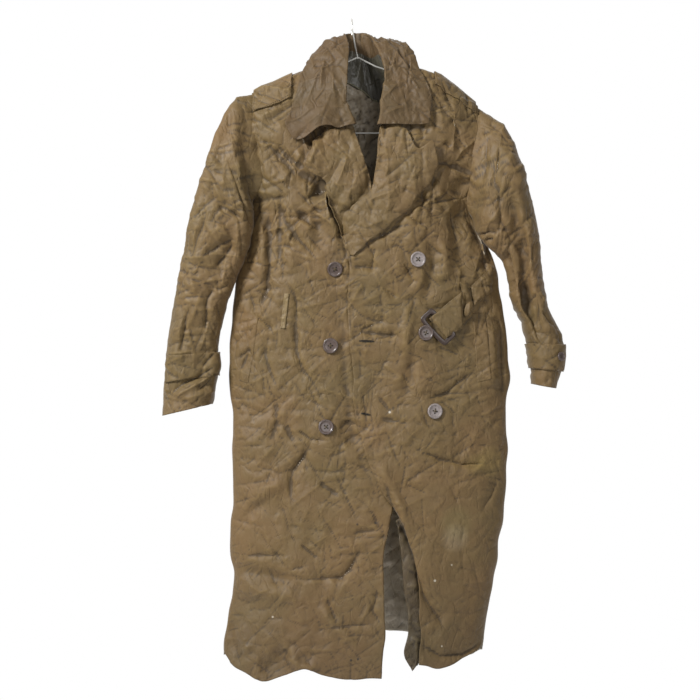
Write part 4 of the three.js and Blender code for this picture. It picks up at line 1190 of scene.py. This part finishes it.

# %% [markdown]
# ## Collar
#
# The collar is a stand and a fall in one. It starts at the neck seam, stands
# up, rolls over and falls to its free edge. On the hanger it is pulled up high
# round the stem, and both leaves have slumped: the right leaf ends in a
# crushed tip, the left one is wide and square. The collar takes a darker copy
# of the cloth, painted shade. Inside the neck the stand is painted a dark,
# greenish colour as shade, with a shiny finish, below a pale piped seam.

# %% Collar
COLLAR = table("side base_x base_z roll_x roll_y roll_z edge_x edge_y edge_z facing", [
    (-1, -9, -198, 3, -56, -206, -110, -56, -228, -90),
    (-1, -18, -185, -3, -57, -189, -125, -56, -207, -90),
    (-1, -27, -163, -9, -56, -169, -118, -52, -185, -90),
    (-1, -33, -139, -11, -54, -145, -110, -47, -160, -90),
    (-1, -38, -116, -10, -50, -116, -102, -38, -132, -95),
    (-1, -42, -99, -8, -42, -86, -95, -26, -108, -110),
    (-1, -44, -87, -8, -28, -58, -86, -8, -80, -150),
    (1, -32, -102, -14, -2, -31, -74, 20, -66, -200),
    (1, -22, -107, -14, 26, -23, -52, 54, -82, -240),
    (1, 20, -132, 10, 40, -20, 14, 66, -110, -270),
    (1, 52, -155, 32, 28, -25, 66, 56, -74, -300),
    (1, 73, -119, 42, 6, -36, 92, 24, -42, -340),
    (-1, 76, -89, 52, -14, -58, 114, -10, -62, -390),
    (-1, 76, -107, 62, -32, -92, 127, -32, -98, -430),
    (-1, 76, -127, 62, -44, -125, 143, -44, -133, -450),
    (-1, 71, -156, 58, -54, -158, 150, -51, -160, -450),
    (-1, 63, -183, 55, -59, -188, 147, -55, -187, -450),
    (-1, 56, -200, 51, -62, -207, 143, -57, -206, -450),
])
ROLL_RADIUS = 3


def row_curve(points, place):
    """A smooth curve through rows of points; place counts rows."""
    p = np.asarray(points, float)
    slope = np.gradient(p, axis=0)
    i = np.clip(np.floor(place).astype(int), 0, len(p) - 2)
    t = (place - i)[..., None]
    a = (2 * t**3 - 3 * t**2 + 1) * p[i] + (t**3 - 2 * t**2 + t) * slope[i]
    return a + (-2 * t**3 + 3 * t**2) * p[i + 1] + (t**3 - t**2) * slope[i + 1]


def front_under(x, z, out=0.0):
    """The front that lies below a point, the left one right of the split."""
    left = left_front_at(x, z, out)
    right = right_front_at(x, z, out)
    return np.where((x > 30)[..., None], left, right)


def collar_net():
    c = COLLAR
    rows = np.linspace(0, len(c["side"]) - 1, 260)
    seam = np.where((c["side"] < 0)[:, None], front_under(c["base_x"], c["base_z"]),
                    back_at(c["base_x"], c["base_z"]))
    base = row_curve(seam, rows)
    roll = row_curve(np.stack([c["roll_x"], c["roll_y"], c["roll_z"]], -1), rows)
    edge = row_curve(np.stack([c["edge_x"], c["edge_y"], c["edge_z"]], -1), rows)
    turn = np.radians(np.interp(rows, np.arange(len(c["side"])), c["facing"]))
    outward = np.stack([np.cos(turn), np.sin(turn), 0 * turn], -1)
    down = (base + edge) / 2 - roll
    down /= np.linalg.norm(down, axis=-1, keepdims=True)
    lines = [base + (roll - outward * ROLL_RADIUS - base) * k for k in np.linspace(0, 1, 26)]
    for k in (0.25, 0.5, 0.75):
        turned = -outward * math.cos(math.pi * k) - down * math.sin(math.pi * k)
        lines.append(roll + turned * ROLL_RADIUS)
    fall = roll + outward * ROLL_RADIUS
    high = np.exp(-(((rows - 7.2) / 1.6) ** 2)) + 0.35 * np.exp(-(((rows - 11.4) / 1.2) ** 2))
    for k in np.linspace(0, 1, 48):
        line = fall + (edge - fall) * k
        line[:, 2] += 15 * high * math.sin(math.pi * k)
        slump = np.clip(1 - rows / 3, 0, 1) * smooth(10, 40, -line[:, 0])
        line[:, 2] += 8 * slump * np.sin(2 * math.pi * (-line[:, 0] - 30) / 90)
        line[:, 1] -= 12 * slump * np.exp(-(((line[:, 0] + 62) / 24) ** 2))
        lines.append(line)
    return np.stack(lines, 1), rows


def collar_grid():
    grid, rows = collar_net()
    count = grid.shape[1]
    column = np.arange(count)[None, :]
    along = np.concatenate([[0], np.cumsum(np.linalg.norm(np.diff(grid[:, 50], axis=0), axis=1))])
    across = np.concatenate([[0], np.cumsum(np.linalg.norm(np.diff(grid[60], axis=0), axis=1))])
    u, v = np.meshgrid(across, along)
    normal = grid_normals(grid)
    lively = smooth(0, 10, column) * (1 - 0.5 * np.exp(-(((column - 27) / 5) ** 2)))
    grid = grid + normal * (crumple(v, u, 21, 0.4, (0, 1100, 0, 190)) * 0.85 * lively)[..., None]
    on_fall = column > 29
    front = (rows < 5.6)[:, None] | (rows > 12.0)[:, None]
    behind = (rows > 7.4)[:, None] & (rows < 11.2)[:, None]
    x, z = grid[..., 0], grid[..., 2]
    below = z < read(SHOULDER, "x", "z", x)
    clear = 2.5 + 3.0 * smooth(30, 70, column)
    under = front_under(x, z)[..., 1] - clear
    over = back_at(x, z)[..., 1] + clear
    y = grid[..., 1]
    y = np.where(on_fall & front & below, np.minimum(y, under), y)
    y = np.where(on_fall & behind & below, np.maximum(y, over), y)
    grid[..., 1] = y
    return grid


collar_points = collar_grid()
towards_fold = np.zeros_like(collar_points)
towards_fold[:, 27] = (collar_points[:, 10] + collar_points[:, 45]) / 2 - collar_points[:, 27]
face_column = np.arange(collar_points.shape[1] - 1)[None, :]
face_row = np.arange(collar_points.shape[0] - 1)[:, None] / 259 * 17
# faces inside the stand that take the dark colour of painted shade
stand_in_painted_shade = (face_column < 17) & (face_row > 5.5) & (face_row < 13)
collar = shell("collar_cloth", collar_points, towards_fold, thick=1.6,
               materials=(SHADED_COLLAR_CLOTH, SHADED_COLLAR_CLOTH, STAND_SHADE_CLOTH), faced=stand_in_painted_shade)
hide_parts("collar")

# %% [markdown]
# ## Lapels
#
# The turned-out front edges lie on their fronts, standing off a little at the
# free edge, so that the edge throws a soft shadow. The left one is broad and
# flat with a pointed peak, and a row of stitches follows its notch. The
# right one is half hidden and crushed, with one dark slanting hollow.

# %% Lapels
def lapel(name, top, roll, free, bottom, at, stand, seed, folds):
    s, t = net(64, 96)
    edges = [run_through(rows) for rows in (top, bottom, roll, free)]
    edges[3] = wavy(edges[3], 2.2, 26)
    flat = pattern(*edges, s, t)
    x, z = flat[..., 0], flat[..., 1]
    lift = 2.0 + stand * np.sin(0.5 * np.pi * s) * (1 - 0.45 * t)
    own = 0.5 * crumple(x, z, seed, 0.6) - 0.45 * front_crumples(x, z)
    lift = lift + own * smooth(0, 0.1, s) + fold_height(folds, x, z)
    grid = at(x, z, np.maximum(lift, 1.4))
    return shell(name, grid, FRONT_SIDE, thick=1.3, materials=(CLOTH, CLOTH))


LEFT_LAPEL_FOLDS = table(FOLD, [
    (60, -230, 70, -330, 9, 4, 1),
    (92, -232, 118, -330, 8, 3.5, 1),
    (120, -268, 90, -350, 7, -3, 1),
    (20, -352, 80, -330, 7, 4, 1),
    (20, -400, 60, -385, 7, 4, 1),
    (15, -370, 45, -420, 6, -3, 1),
    (70, -330, 60, -390, 7, 3, 1),
    (132, -260, 140, -300, 5, 3, 1),
])
RIGHT_LAPEL_FOLDS = table(FOLD, [
    (-20, -270, -46, -318, 8, -6, 1),
    (-6, -262, -30, -322, 7, 6, 1),
    (-62, -240, -78, -285, 7, 5, 1),
    (-50, -240, -20, -262, 8, -4, 1),
    (10, -300, -10, -350, 8, 4, 1),
    (-18, -330, -30, -370, 7, -4, 1),
    (5, -360, -20, -352, 5, 3, 1),
])

left_lapel = lapel(
    "left_lapel",
    [(55, -214), (97, -214), (122, -252), (148, -236)],
    [(55, -214), (48, -256), (44, -292), (36, -328), (2, -362), (-9, -393), (-10, -427), (-4, -450)],
    [(148, -236), (154, -266), (152, -293), (125, -331), (97, -363), (68, -391), (30, -424), (2, -451)],
    [(-4, -450), (2, -451)],
    left_front_at, 9, 31, LEFT_LAPEL_FOLDS)
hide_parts("lapel_left")

right_lapel = lapel(
    "right_lapel",
    [(4, -213), (-42, -216), (-66, -234), (-87, -281)],
    [(4, -213), (9, -230), (21, -266), (33, -304), (36, -334), (27, -370), (12, -408), (1, -450)],
    [(-87, -281), (-76, -292), (-52, -306), (-47, -322), (-45, -351), (-27, -403), (-6, -451)],
    [(1, -450), (-6, -451)],
    right_front_at, 9, 33, RIGHT_LAPEL_FOLDS)
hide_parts("lapel_right")

# %% [markdown]
# ## Straps, pockets and belt loop
#
# Shoulder straps run from the armhole seam under the collar. Each cuff has a
# short strap, fastened with a small button on the left. The pockets are
# slanted slits with a narrow welt. All of them follow the cloth below.

# %% Straps and welts
def strip(name, at, corners, across, down, out, puff=0.0, seed=41, thick=1.8, hidden=FRONT_SIDE):
    s, t = net(across, down)
    a, b, c, d = [np.array(p, float) for p in corners]
    s3, t3 = s[..., None], t[..., None]
    flat = (a + (b - a) * s3) * (1 - t3) + (d + (c - d) * s3) * t3
    x, z = flat[..., 0], flat[..., 1]
    border = np.minimum(np.minimum(s, 1 - s) * across, np.minimum(t, 1 - t) * down)
    lift = out + thick + puff * smooth(0, 5, border)
    lift = lift + 0.3 * np.abs(crumple(x, z, seed, 0.5)) * smooth(0, 3, border)
    grid = at(x, z, lift)
    return shell(name, grid, hidden, thick=thick, materials=(CLOTH, CLOTH))


def strap_point(x, ridge, side, drop, at):
    angle = np.arccos(1 - drop / SHOULDER_ROLL)
    depth = read(BODY, "z", "front" if side < 0 else "back", ridge)
    up, out = np.cos(angle) / SHOULDER_ROLL, np.sin(angle) / depth
    away = 4.4 / np.hypot(up, out)
    p = at(x, ridge - drop)
    p[..., 1] += side * away * out
    p[..., 2] += away * up
    return p


def shoulder_strap(name, rows, at):
    x = np.linspace(rows["x"][0], rows["x"][-1], 40)
    order = np.argsort(rows["x"])
    front = np.interp(x, rows["x"][order], rows["front"][order])
    behind = np.interp(x, rows["x"][order], rows["back"][order])
    ridge = read(SHOULDER, "x", "z", x)
    lines = [strap_point(x, ridge, -1, front * k, at) for k in np.linspace(1, 0.04, 26)]
    lines.append(np.stack([x, 0 * x, ridge + 4.6], -1))
    lines += [strap_point(x, ridge, 1, behind * k, back_at) for k in np.linspace(0.06, 1, 14)]
    grid = np.stack(lines, 1)
    hidden = np.stack([0 * grid[..., 1], -grid[..., 1], 0 * grid[..., 1] - 20], -1)
    return shell(name, grid, hidden, thick=2.0, materials=(CLOTH, CLOTH))


RIGHT_STRAP = table("x front back", [(-187, 44, 8), (-165, 47, 8), (-140, 50, 8), (-114, 48, 8)])
LEFT_STRAP = table("x front back", [
    (235, 22, 20), (220, 25, 22), (198, 28, 22), (176, 30, 22), (156, 28, 20),
])
right_strap = shoulder_strap("right_shoulder_strap", RIGHT_STRAP, right_front_at)
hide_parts("shoulder_strap_right")
left_strap = shoulder_strap("left_shoulder_strap", LEFT_STRAP, left_front_at)
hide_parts("shoulder_strap_left")


def cuff_strap(name, sleeve, seed, lean, places, angles):
    place, angle = np.meshgrid(np.linspace(*places, 16), np.linspace(*angles, 60), indexing="ij")
    grid = sleeve_at(sleeve, seed, lean, place, angle, 4.0)
    hidden = sleeve_at(sleeve, seed, lean, place, angle, -4.0) - grid
    return shell(name, grid, hidden, thick=2.0, materials=(CLOTH, CLOTH))


right_cuff = cuff_strap("right_cuff_strap", RIGHT_SLEEVE, 11, 0.5, (11.3, 12.5), (0.5, 3.4))
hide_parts("cuff_strap_right")
left_cuff = cuff_strap("left_cuff_strap", LEFT_SLEEVE, 13, -0.5, (12.6, 14.1), (0.2, 3.6))
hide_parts("cuff_strap_left")

RIGHT_WELT = [(-196, -566), (-176, -568), (-196, -690), (-214, -684)]
LEFT_WELT = [(226, -558), (252, -556), (262, -682), (236, -688)]
RIGHT_LOOP = [(-127, -521), (-118, -521), (-125, -587), (-134, -586)]
right_welt = strip("right_pocket_welt", right_front_at, RIGHT_WELT, 10, 60, -0.5, thick=0.9)
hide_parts("pocket_welt_right")
left_welt = strip("left_pocket_welt", left_front_at, LEFT_WELT, 12, 60, -0.5, thick=0.9)
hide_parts("pocket_welt_left")
right_loop = strip("right_belt_loop", right_front_at, RIGHT_LOOP, 6, 30, 0.9, thick=1.2)
# painted highlight: the loop is coloured paler than the cloth
right_loop.data.materials[0] = LOOP_HIGHLIGHT_CLOTH
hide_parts("belt_loop_right")

# %% [markdown]
# ## Belt
#
# The belt runs across the back, comes round the left side and is knotted
# once. Its buckle end hangs over the left front.

# %% Belt
BELT_HALF = 24
SIDE_RUN = [(262, -470), (222, -508), (228, -545), (264, -516)]
END_RUN = [(203, -517), (143, -568), (174, -604), (205, -585)]
BUCKLE_PLACE = (161, -584)
BUCKLE_LEAN = -0.823
BUCKLE_OUT = 6.4
BUCKLE_SIZE = (70, 34)
BUCKLE_BAR = 8.5
BUCKLE_THICK = 3.6

belt_behind = strip("belt_behind", back_at, [
    (-176, -498 + BELT_HALF), (262, -492 + BELT_HALF), (262, -492 - BELT_HALF), (-176, -498 - BELT_HALF),
], 160, 16, 1.7, puff=0.6, seed=47, hidden=BACK_SIDE)
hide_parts("belt_back")
belt_side = strip("belt_side_run", left_front_at, SIDE_RUN, 24, 26, 1.7, puff=2.5, seed=43)
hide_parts("belt_side")
belt_end = strip("belt_buckle_end", left_front_at, END_RUN, 40, 30, 10.8, puff=1.5, seed=45)
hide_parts("belt_end")


def knot_piece():
    """The tight turn of cloth, a lump with deep pleats along it."""
    s, t = net(48, 40)
    a, b = s * 2 * np.pi, (t - 0.5) * np.pi * 0.98
    pleats = 1 + 0.1 * np.cos(5 * a + 2 * np.sin(b)) * np.cos(b)
    p = np.stack([7 * np.cos(b) * np.cos(a) * pleats, 5.5 * np.cos(b) * np.sin(a) * pleats,
                  14 * np.sin(b)], -1)
    c, d = math.cos(0.3), math.sin(0.3)
    turned = np.stack([p[..., 0] * c + p[..., 2] * d, p[..., 1], p[..., 2] * c - p[..., 0] * d], -1)
    place = left_front_at(np.array(214.0), np.array(-551.0), 12.1)
    grid = turned + place + np.array([0.9, 0, 0])
    hidden = place + np.array([0.9, 0, 0]) - grid
    return shell("belt_knot_turn", grid[:, :-1], hidden[:, :-1], loop=True, thick=1.2,
                 materials=(CLOTH, CLOTH))


TIP = [(199, -500), (211, -496), (227, -543), (213, -547)]
belt_tip = strip("belt_tip", left_front_at, TIP, 10, 28, 4.0, puff=1.5, seed=49)
knot = knot_piece()
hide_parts("belt_knot")

# %% [markdown]
# ## Buckle, buttons, thread and wire
#
# The buckle is a plain dark brown frame. The buttons are taupe plastic with a
# raised rim and four holes, sewn with brown thread. The hanger is zinc-plated
# wire, bent by hand.

# %% Hard materials
def plain_material(name, colour, rough, metal=0.0, coat=0.0, speckle=0.15):
    made, tree, shader = new_material(name)
    place = node(tree, "ShaderNodeTexCoord").outputs["Object"]
    cloud = noise(tree, place, 260.0, 3.0, 0.6).outputs["Fac"]
    dark = tuple(c * (1 - speckle) for c in linear(colour)[:3]) + (1.0,)
    tint = mix_colour(tree, ramp(tree, cloud, 0.35, 0.65), linear(colour), dark)
    tree.links.new(tint, shader.inputs["Base Color"])
    shader.inputs["Roughness"].default_value = rough
    shader.inputs["Metallic"].default_value = metal
    shader.inputs["Coat Weight"].default_value = coat
    return made


BUTTON = plain_material("taupe plastic", "#5a4c46", 0.33, coat=0.12, speckle=0.3)
# pale plastic for two buttons; on the top left one it is a painted reflection
PALE_BUTTON = plain_material("pale plastic", "#8d8380", 0.4, speckle=0.3)
BUCKLE = plain_material("brown plastic", "#3a2c25", 0.35, speckle=0.3)
WIRE = plain_material("zinc wire", "#e8e6e0", 0.5, metal=1.0, speckle=0.06)
THREAD = plain_material("brown thread", "#4d4029", 0.8)
# painted shade in the button holes and in the buttonhole slits
HOLE_SHADE = plain_material("painted shade in holes", "#120e0c", 0.9)
PIPING = plain_material("pale piping", "#827d66", 0.6)


def small_piece(name, points, faces, slots, materials):
    mesh = bpy.data.meshes.new(name)
    mesh.from_pydata([tuple(p) for p in np.asarray(points) / 1000], [], faces)
    for material in materials:
        mesh.materials.append(material)
    for polygon, slot in zip(mesh.polygons, slots):
        polygon.material_index = slot
        polygon.use_smooth = True
    mesh.update()
    piece = bpy.data.objects.new(name, mesh)
    bpy.context.scene.collection.objects.link(piece)
    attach(piece, "root")
    return piece


def ring_faces(rings, around, first=0):
    faces = []
    for r in range(rings - 1):
        for k in range(around):
            a, b = first + r * around + k, first + r * around + (k + 1) % around
            faces.append((a, b, b + around, a + around))
    return faces


def tube(points, radius, sides=6):
    """Points and faces of a round cord along a line of points, in mm."""
    p = np.asarray(points, float)
    direction = np.gradient(p, axis=0)
    direction /= np.linalg.norm(direction, axis=1, keepdims=True) + 1e-9
    helper = np.array([0.0, -1.0, 0.0])
    side = np.cross(direction, helper)
    side /= np.linalg.norm(side, axis=1, keepdims=True) + 1e-9
    up = np.cross(side, direction)
    turn = np.linspace(0, 2 * np.pi, sides, endpoint=False)
    rings = [p + radius * (side * math.cos(a) + up * math.sin(a)) for a in turn]
    places = np.stack(rings, 1).reshape(-1, 3)
    faces = ring_faces(len(p), sides)
    faces.append(tuple(range(sides))[::-1])
    faces.append(tuple(range((len(p) - 1) * sides, len(p) * sides)))
    return places, faces


def cords(name, lines, radius, material, sides=6):
    """Many short cords as one piece."""
    points, faces = [], []
    for line in lines:
        places, more = tube(line, radius, sides)
        start = sum(len(q) for q in points)
        points.append(places)
        faces += [tuple(start + k for k in face) for face in more]
    return small_piece(name, np.concatenate(points), faces, [0] * len(faces), [material])


# %% Buttons
BUTTON_PROFILE = [
    (0.0, 0.0), (0.9, 0.0), (1.0, 0.35), (0.985, 0.75), (0.93, 0.95), (0.86, 1.0),
    (0.79, 0.93), (0.74, 0.72), (0.66, 0.62), (0.4, 0.58), (0.0, 0.57),
]


def frame_at(at, x, z, out):
    """A place on a front and two unit directions in its surface there."""
    around = [at(np.array(x + a), np.array(z + b), 0.0) for a, b in ((9, 0), (-9, 0), (0, 9), (0, -9))]
    right, up = around[0] - around[1], around[2] - around[3]
    normal = np.cross(right, up)
    normal *= -np.sign(normal[1]) / np.linalg.norm(normal)
    right = right / np.linalg.norm(right)
    up = np.cross(normal, right)
    up *= np.sign(up[2])
    centre = sum(around) / 4
    return centre + normal * out, right, up, normal


def button(name, where, radius, thick, turn, replaced, plastic):
    centre, right, up, normal = where
    around = 40
    points, faces = [], []
    for r, h in BUTTON_PROFILE[1:-1]:
        for k in range(around):
            a = 2 * math.pi * k / around
            flat = right * math.cos(a) * r * radius + up * math.sin(a) * r * radius
            points.append(centre + flat + normal * h * thick)
    rings = len(BUTTON_PROFILE) - 2
    faces = ring_faces(rings, around)
    faces.append(tuple(range(around))[::-1])
    faces.append(tuple(range((rings - 1) * around, rings * around)))
    slots = [0] * len(faces)
    top = normal * (0.62 * thick)
    spread = radius * 0.2
    corners = []
    for k in range(4):
        a = turn + math.pi / 4 + k * math.pi / 2
        corners.append(centre + top + (right * math.cos(a) + up * math.sin(a)) * spread * 1.3)
    for corner in corners:
        first = len(points)
        for k in range(12):
            a = 2 * math.pi * k / 12
            points.append(corner + (right * math.cos(a) + up * math.sin(a)) * radius * 0.1)
        # painted shade: a flat dark disc fills each hole
        faces.append(tuple(range(first, first + 12)))
        slots.append(1)
    for a, b in ((0, 2), (1, 3)):
        line = [corners[a], (corners[a] + corners[b]) / 2 + normal * 0.5, corners[b]]
        places, more = tube(line, radius * 0.055)
        start = len(points)
        points += list(places)
        faces += [tuple(start + k for k in face) for face in more]
        slots += [2] * len(more)
    piece = small_piece(name, points, faces, slots, [plastic, HOLE_SHADE, THREAD])
    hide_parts(replaced)
    return piece


BUTTONS = [
    ("right_top", -32, -475, 0.3, right_front_at),
    ("right_middle", -40, -619, 0.8, right_front_at),
    ("right_low", -49, -771, 0.1, right_front_at),
    ("left_top", 122, -458, 0.0, left_front_at),
    ("left_middle", 137, -595, 0.4, left_front_at),
    ("left_low", 154, -741, 0.6, left_front_at),
]
for which, x, z, turn, at in BUTTONS:
    # painted reflection: the top left button takes the pale plastic for the light it reflects; the low left
    # one takes it too
    plastic = PALE_BUTTON if which in ("left_top", "left_low") else BUTTON
    button("sewn_" + which, frame_at(at, x, z, 2.0), 14.5, 4.0, turn, "button_" + which, plastic)


def cuff_frame(place, angle, out):
    around = [sleeve_at(LEFT_SLEEVE, 13, -0.5, np.array(place + a), np.array(angle + b), out)
              for a, b in ((0, 0.12), (0, -0.12), (0.2, 0), (-0.2, 0))]
    right, up = around[0] - around[1], around[3] - around[2]
    normal = np.cross(right, up)
    normal *= -np.sign(normal[1]) / np.linalg.norm(normal)
    right = right / np.linalg.norm(right)
    return sum(around) / 4, right, np.cross(normal, right), normal


button("sewn_cuff_left", cuff_frame(13.3, 0.95, 5.0), 8.5, 3.0, 0.2, "button_cuff_left", BUTTON)

# %% Buckle
def buckle_piece():
    centre, right, up, normal = frame_at(left_front_at, *BUCKLE_PLACE, BUCKLE_OUT)
    c, s = math.cos(BUCKLE_LEAN), math.sin(BUCKLE_LEAN)
    long, short = right * c + up * s, up * c - right * s
    half_long, half_short = BUCKLE_SIZE[0] / 2, BUCKLE_SIZE[1] / 2
    section = []
    for k in range(12):
        a = 2 * math.pi * k / 12
        wide = BUCKLE_BAR / 2 * np.sign(math.cos(a)) * abs(math.cos(a)) ** 0.6
        high = BUCKLE_THICK / 2 * np.sign(math.sin(a)) * abs(math.sin(a)) ** 0.6
        section.append((wide, high))
    points = []
    steps = 64
    for k in range(steps):
        a = 2 * math.pi * k / steps
        px = np.sign(math.cos(a)) * abs(math.cos(a)) ** 0.3
        pz = np.sign(math.sin(a)) * abs(math.sin(a)) ** 0.3
        for wide, high in section:
            out_long = (half_long - BUCKLE_BAR / 2 + wide) * px
            out_short = (half_short - BUCKLE_BAR / 2 + wide) * pz
            points.append(centre + long * out_long + short * out_short
                          + normal * (BUCKLE_THICK / 2 + high))
    faces = []
    for k in range(steps):
        for j in range(12):
            a, b = k * 12 + j, k * 12 + (j + 1) % 12
            c2, d2 = ((k + 1) % steps) * 12 + (j + 1) % 12, ((k + 1) % steps) * 12 + j
            faces.append((a, b, c2, d2))
    piece = small_piece("belt_frame", points, faces, [0] * len(faces), [BUCKLE])
    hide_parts("buckle")


buckle_piece()

# %% [markdown]
# ## Stitches, buttonholes and piping
#
# Rows of stitches follow the notch of the left lapel and the right shoulder
# strap. The two open buttonholes on the left front are worked slits with a dark
# gap.

# %% Stitches and holes
def stitches(name, at, points, out, pitch=4.2, radius=0.42):
    line = run_through(points)
    whole = sum(math.dist(a, b) for a, b in zip(points, points[1:]))
    lines = []
    for k in range(int(whole / pitch)):
        t = (k + np.array([0.1, 0.4, 0.75])) * pitch / whole
        p = line(t)
        lift = np.array([0.0, 0.35, 0.0]) + out
        lines.append(at(p[:, 0], p[:, 1], lift))
    return cords(name, lines, radius, THREAD, 5)


def buttonhole(name, at, start, end, out):
    ends = np.array([start, end], float)
    middle = ends.mean(0)
    direction = (ends[1] - ends[0]) / np.linalg.norm(ends[1] - ends[0])
    side = np.array([-direction[1], direction[0]])
    half = np.linalg.norm(ends[1] - ends[0]) / 2
    turn = np.linspace(0, 2 * np.pi, 40)
    loops = middle + direction * (np.cos(turn) * half)[:, None] + side * (np.sin(turn) * 2.0)[:, None]
    rim = at(loops[:, 0], loops[:, 1], out + 0.3)
    cords(name + "_rim", [rim], 0.6, THREAD)
    slit = middle + direction * np.linspace(-half * 0.95, half * 0.95, 12)[:, None]
    # painted shade: a dark cord lies in the slit where the gap is
    cords(name + "_slit", [at(slit[:, 0], slit[:, 1], out + 0.25)], 1.1, HOLE_SHADE)


buttonhole("hole_middle", left_front_at, (13, -610), (41, -611), 0.2)
buttonhole("hole_low", left_front_at, (17, -745), (34, -748), 0.2)
stitches("notch_stitches", left_front_at, [(97, -219), (120, -257), (138, -247)], 7.0)
stitches("right_strap_stitches", right_front_at, [(-184, -178), (-150, -168), (-116, -149)], 4.6)

# %% Hanger wire and piping
for item in bpy.data.objects:
    if item.name.split(".")[0] == "hanger":
        item.data.materials.clear()
        item.data.materials.append(WIRE)
PIPED = run_through([(-36, -101), (-10, -112), (20, -128), (42, -146), (50, -148)])
seam_line = PIPED(np.linspace(0, 1, 40))
cords("neck_piping", [back_at(seam_line[:, 0], seam_line[:, 1], -3.0)], 1.3, PIPING)
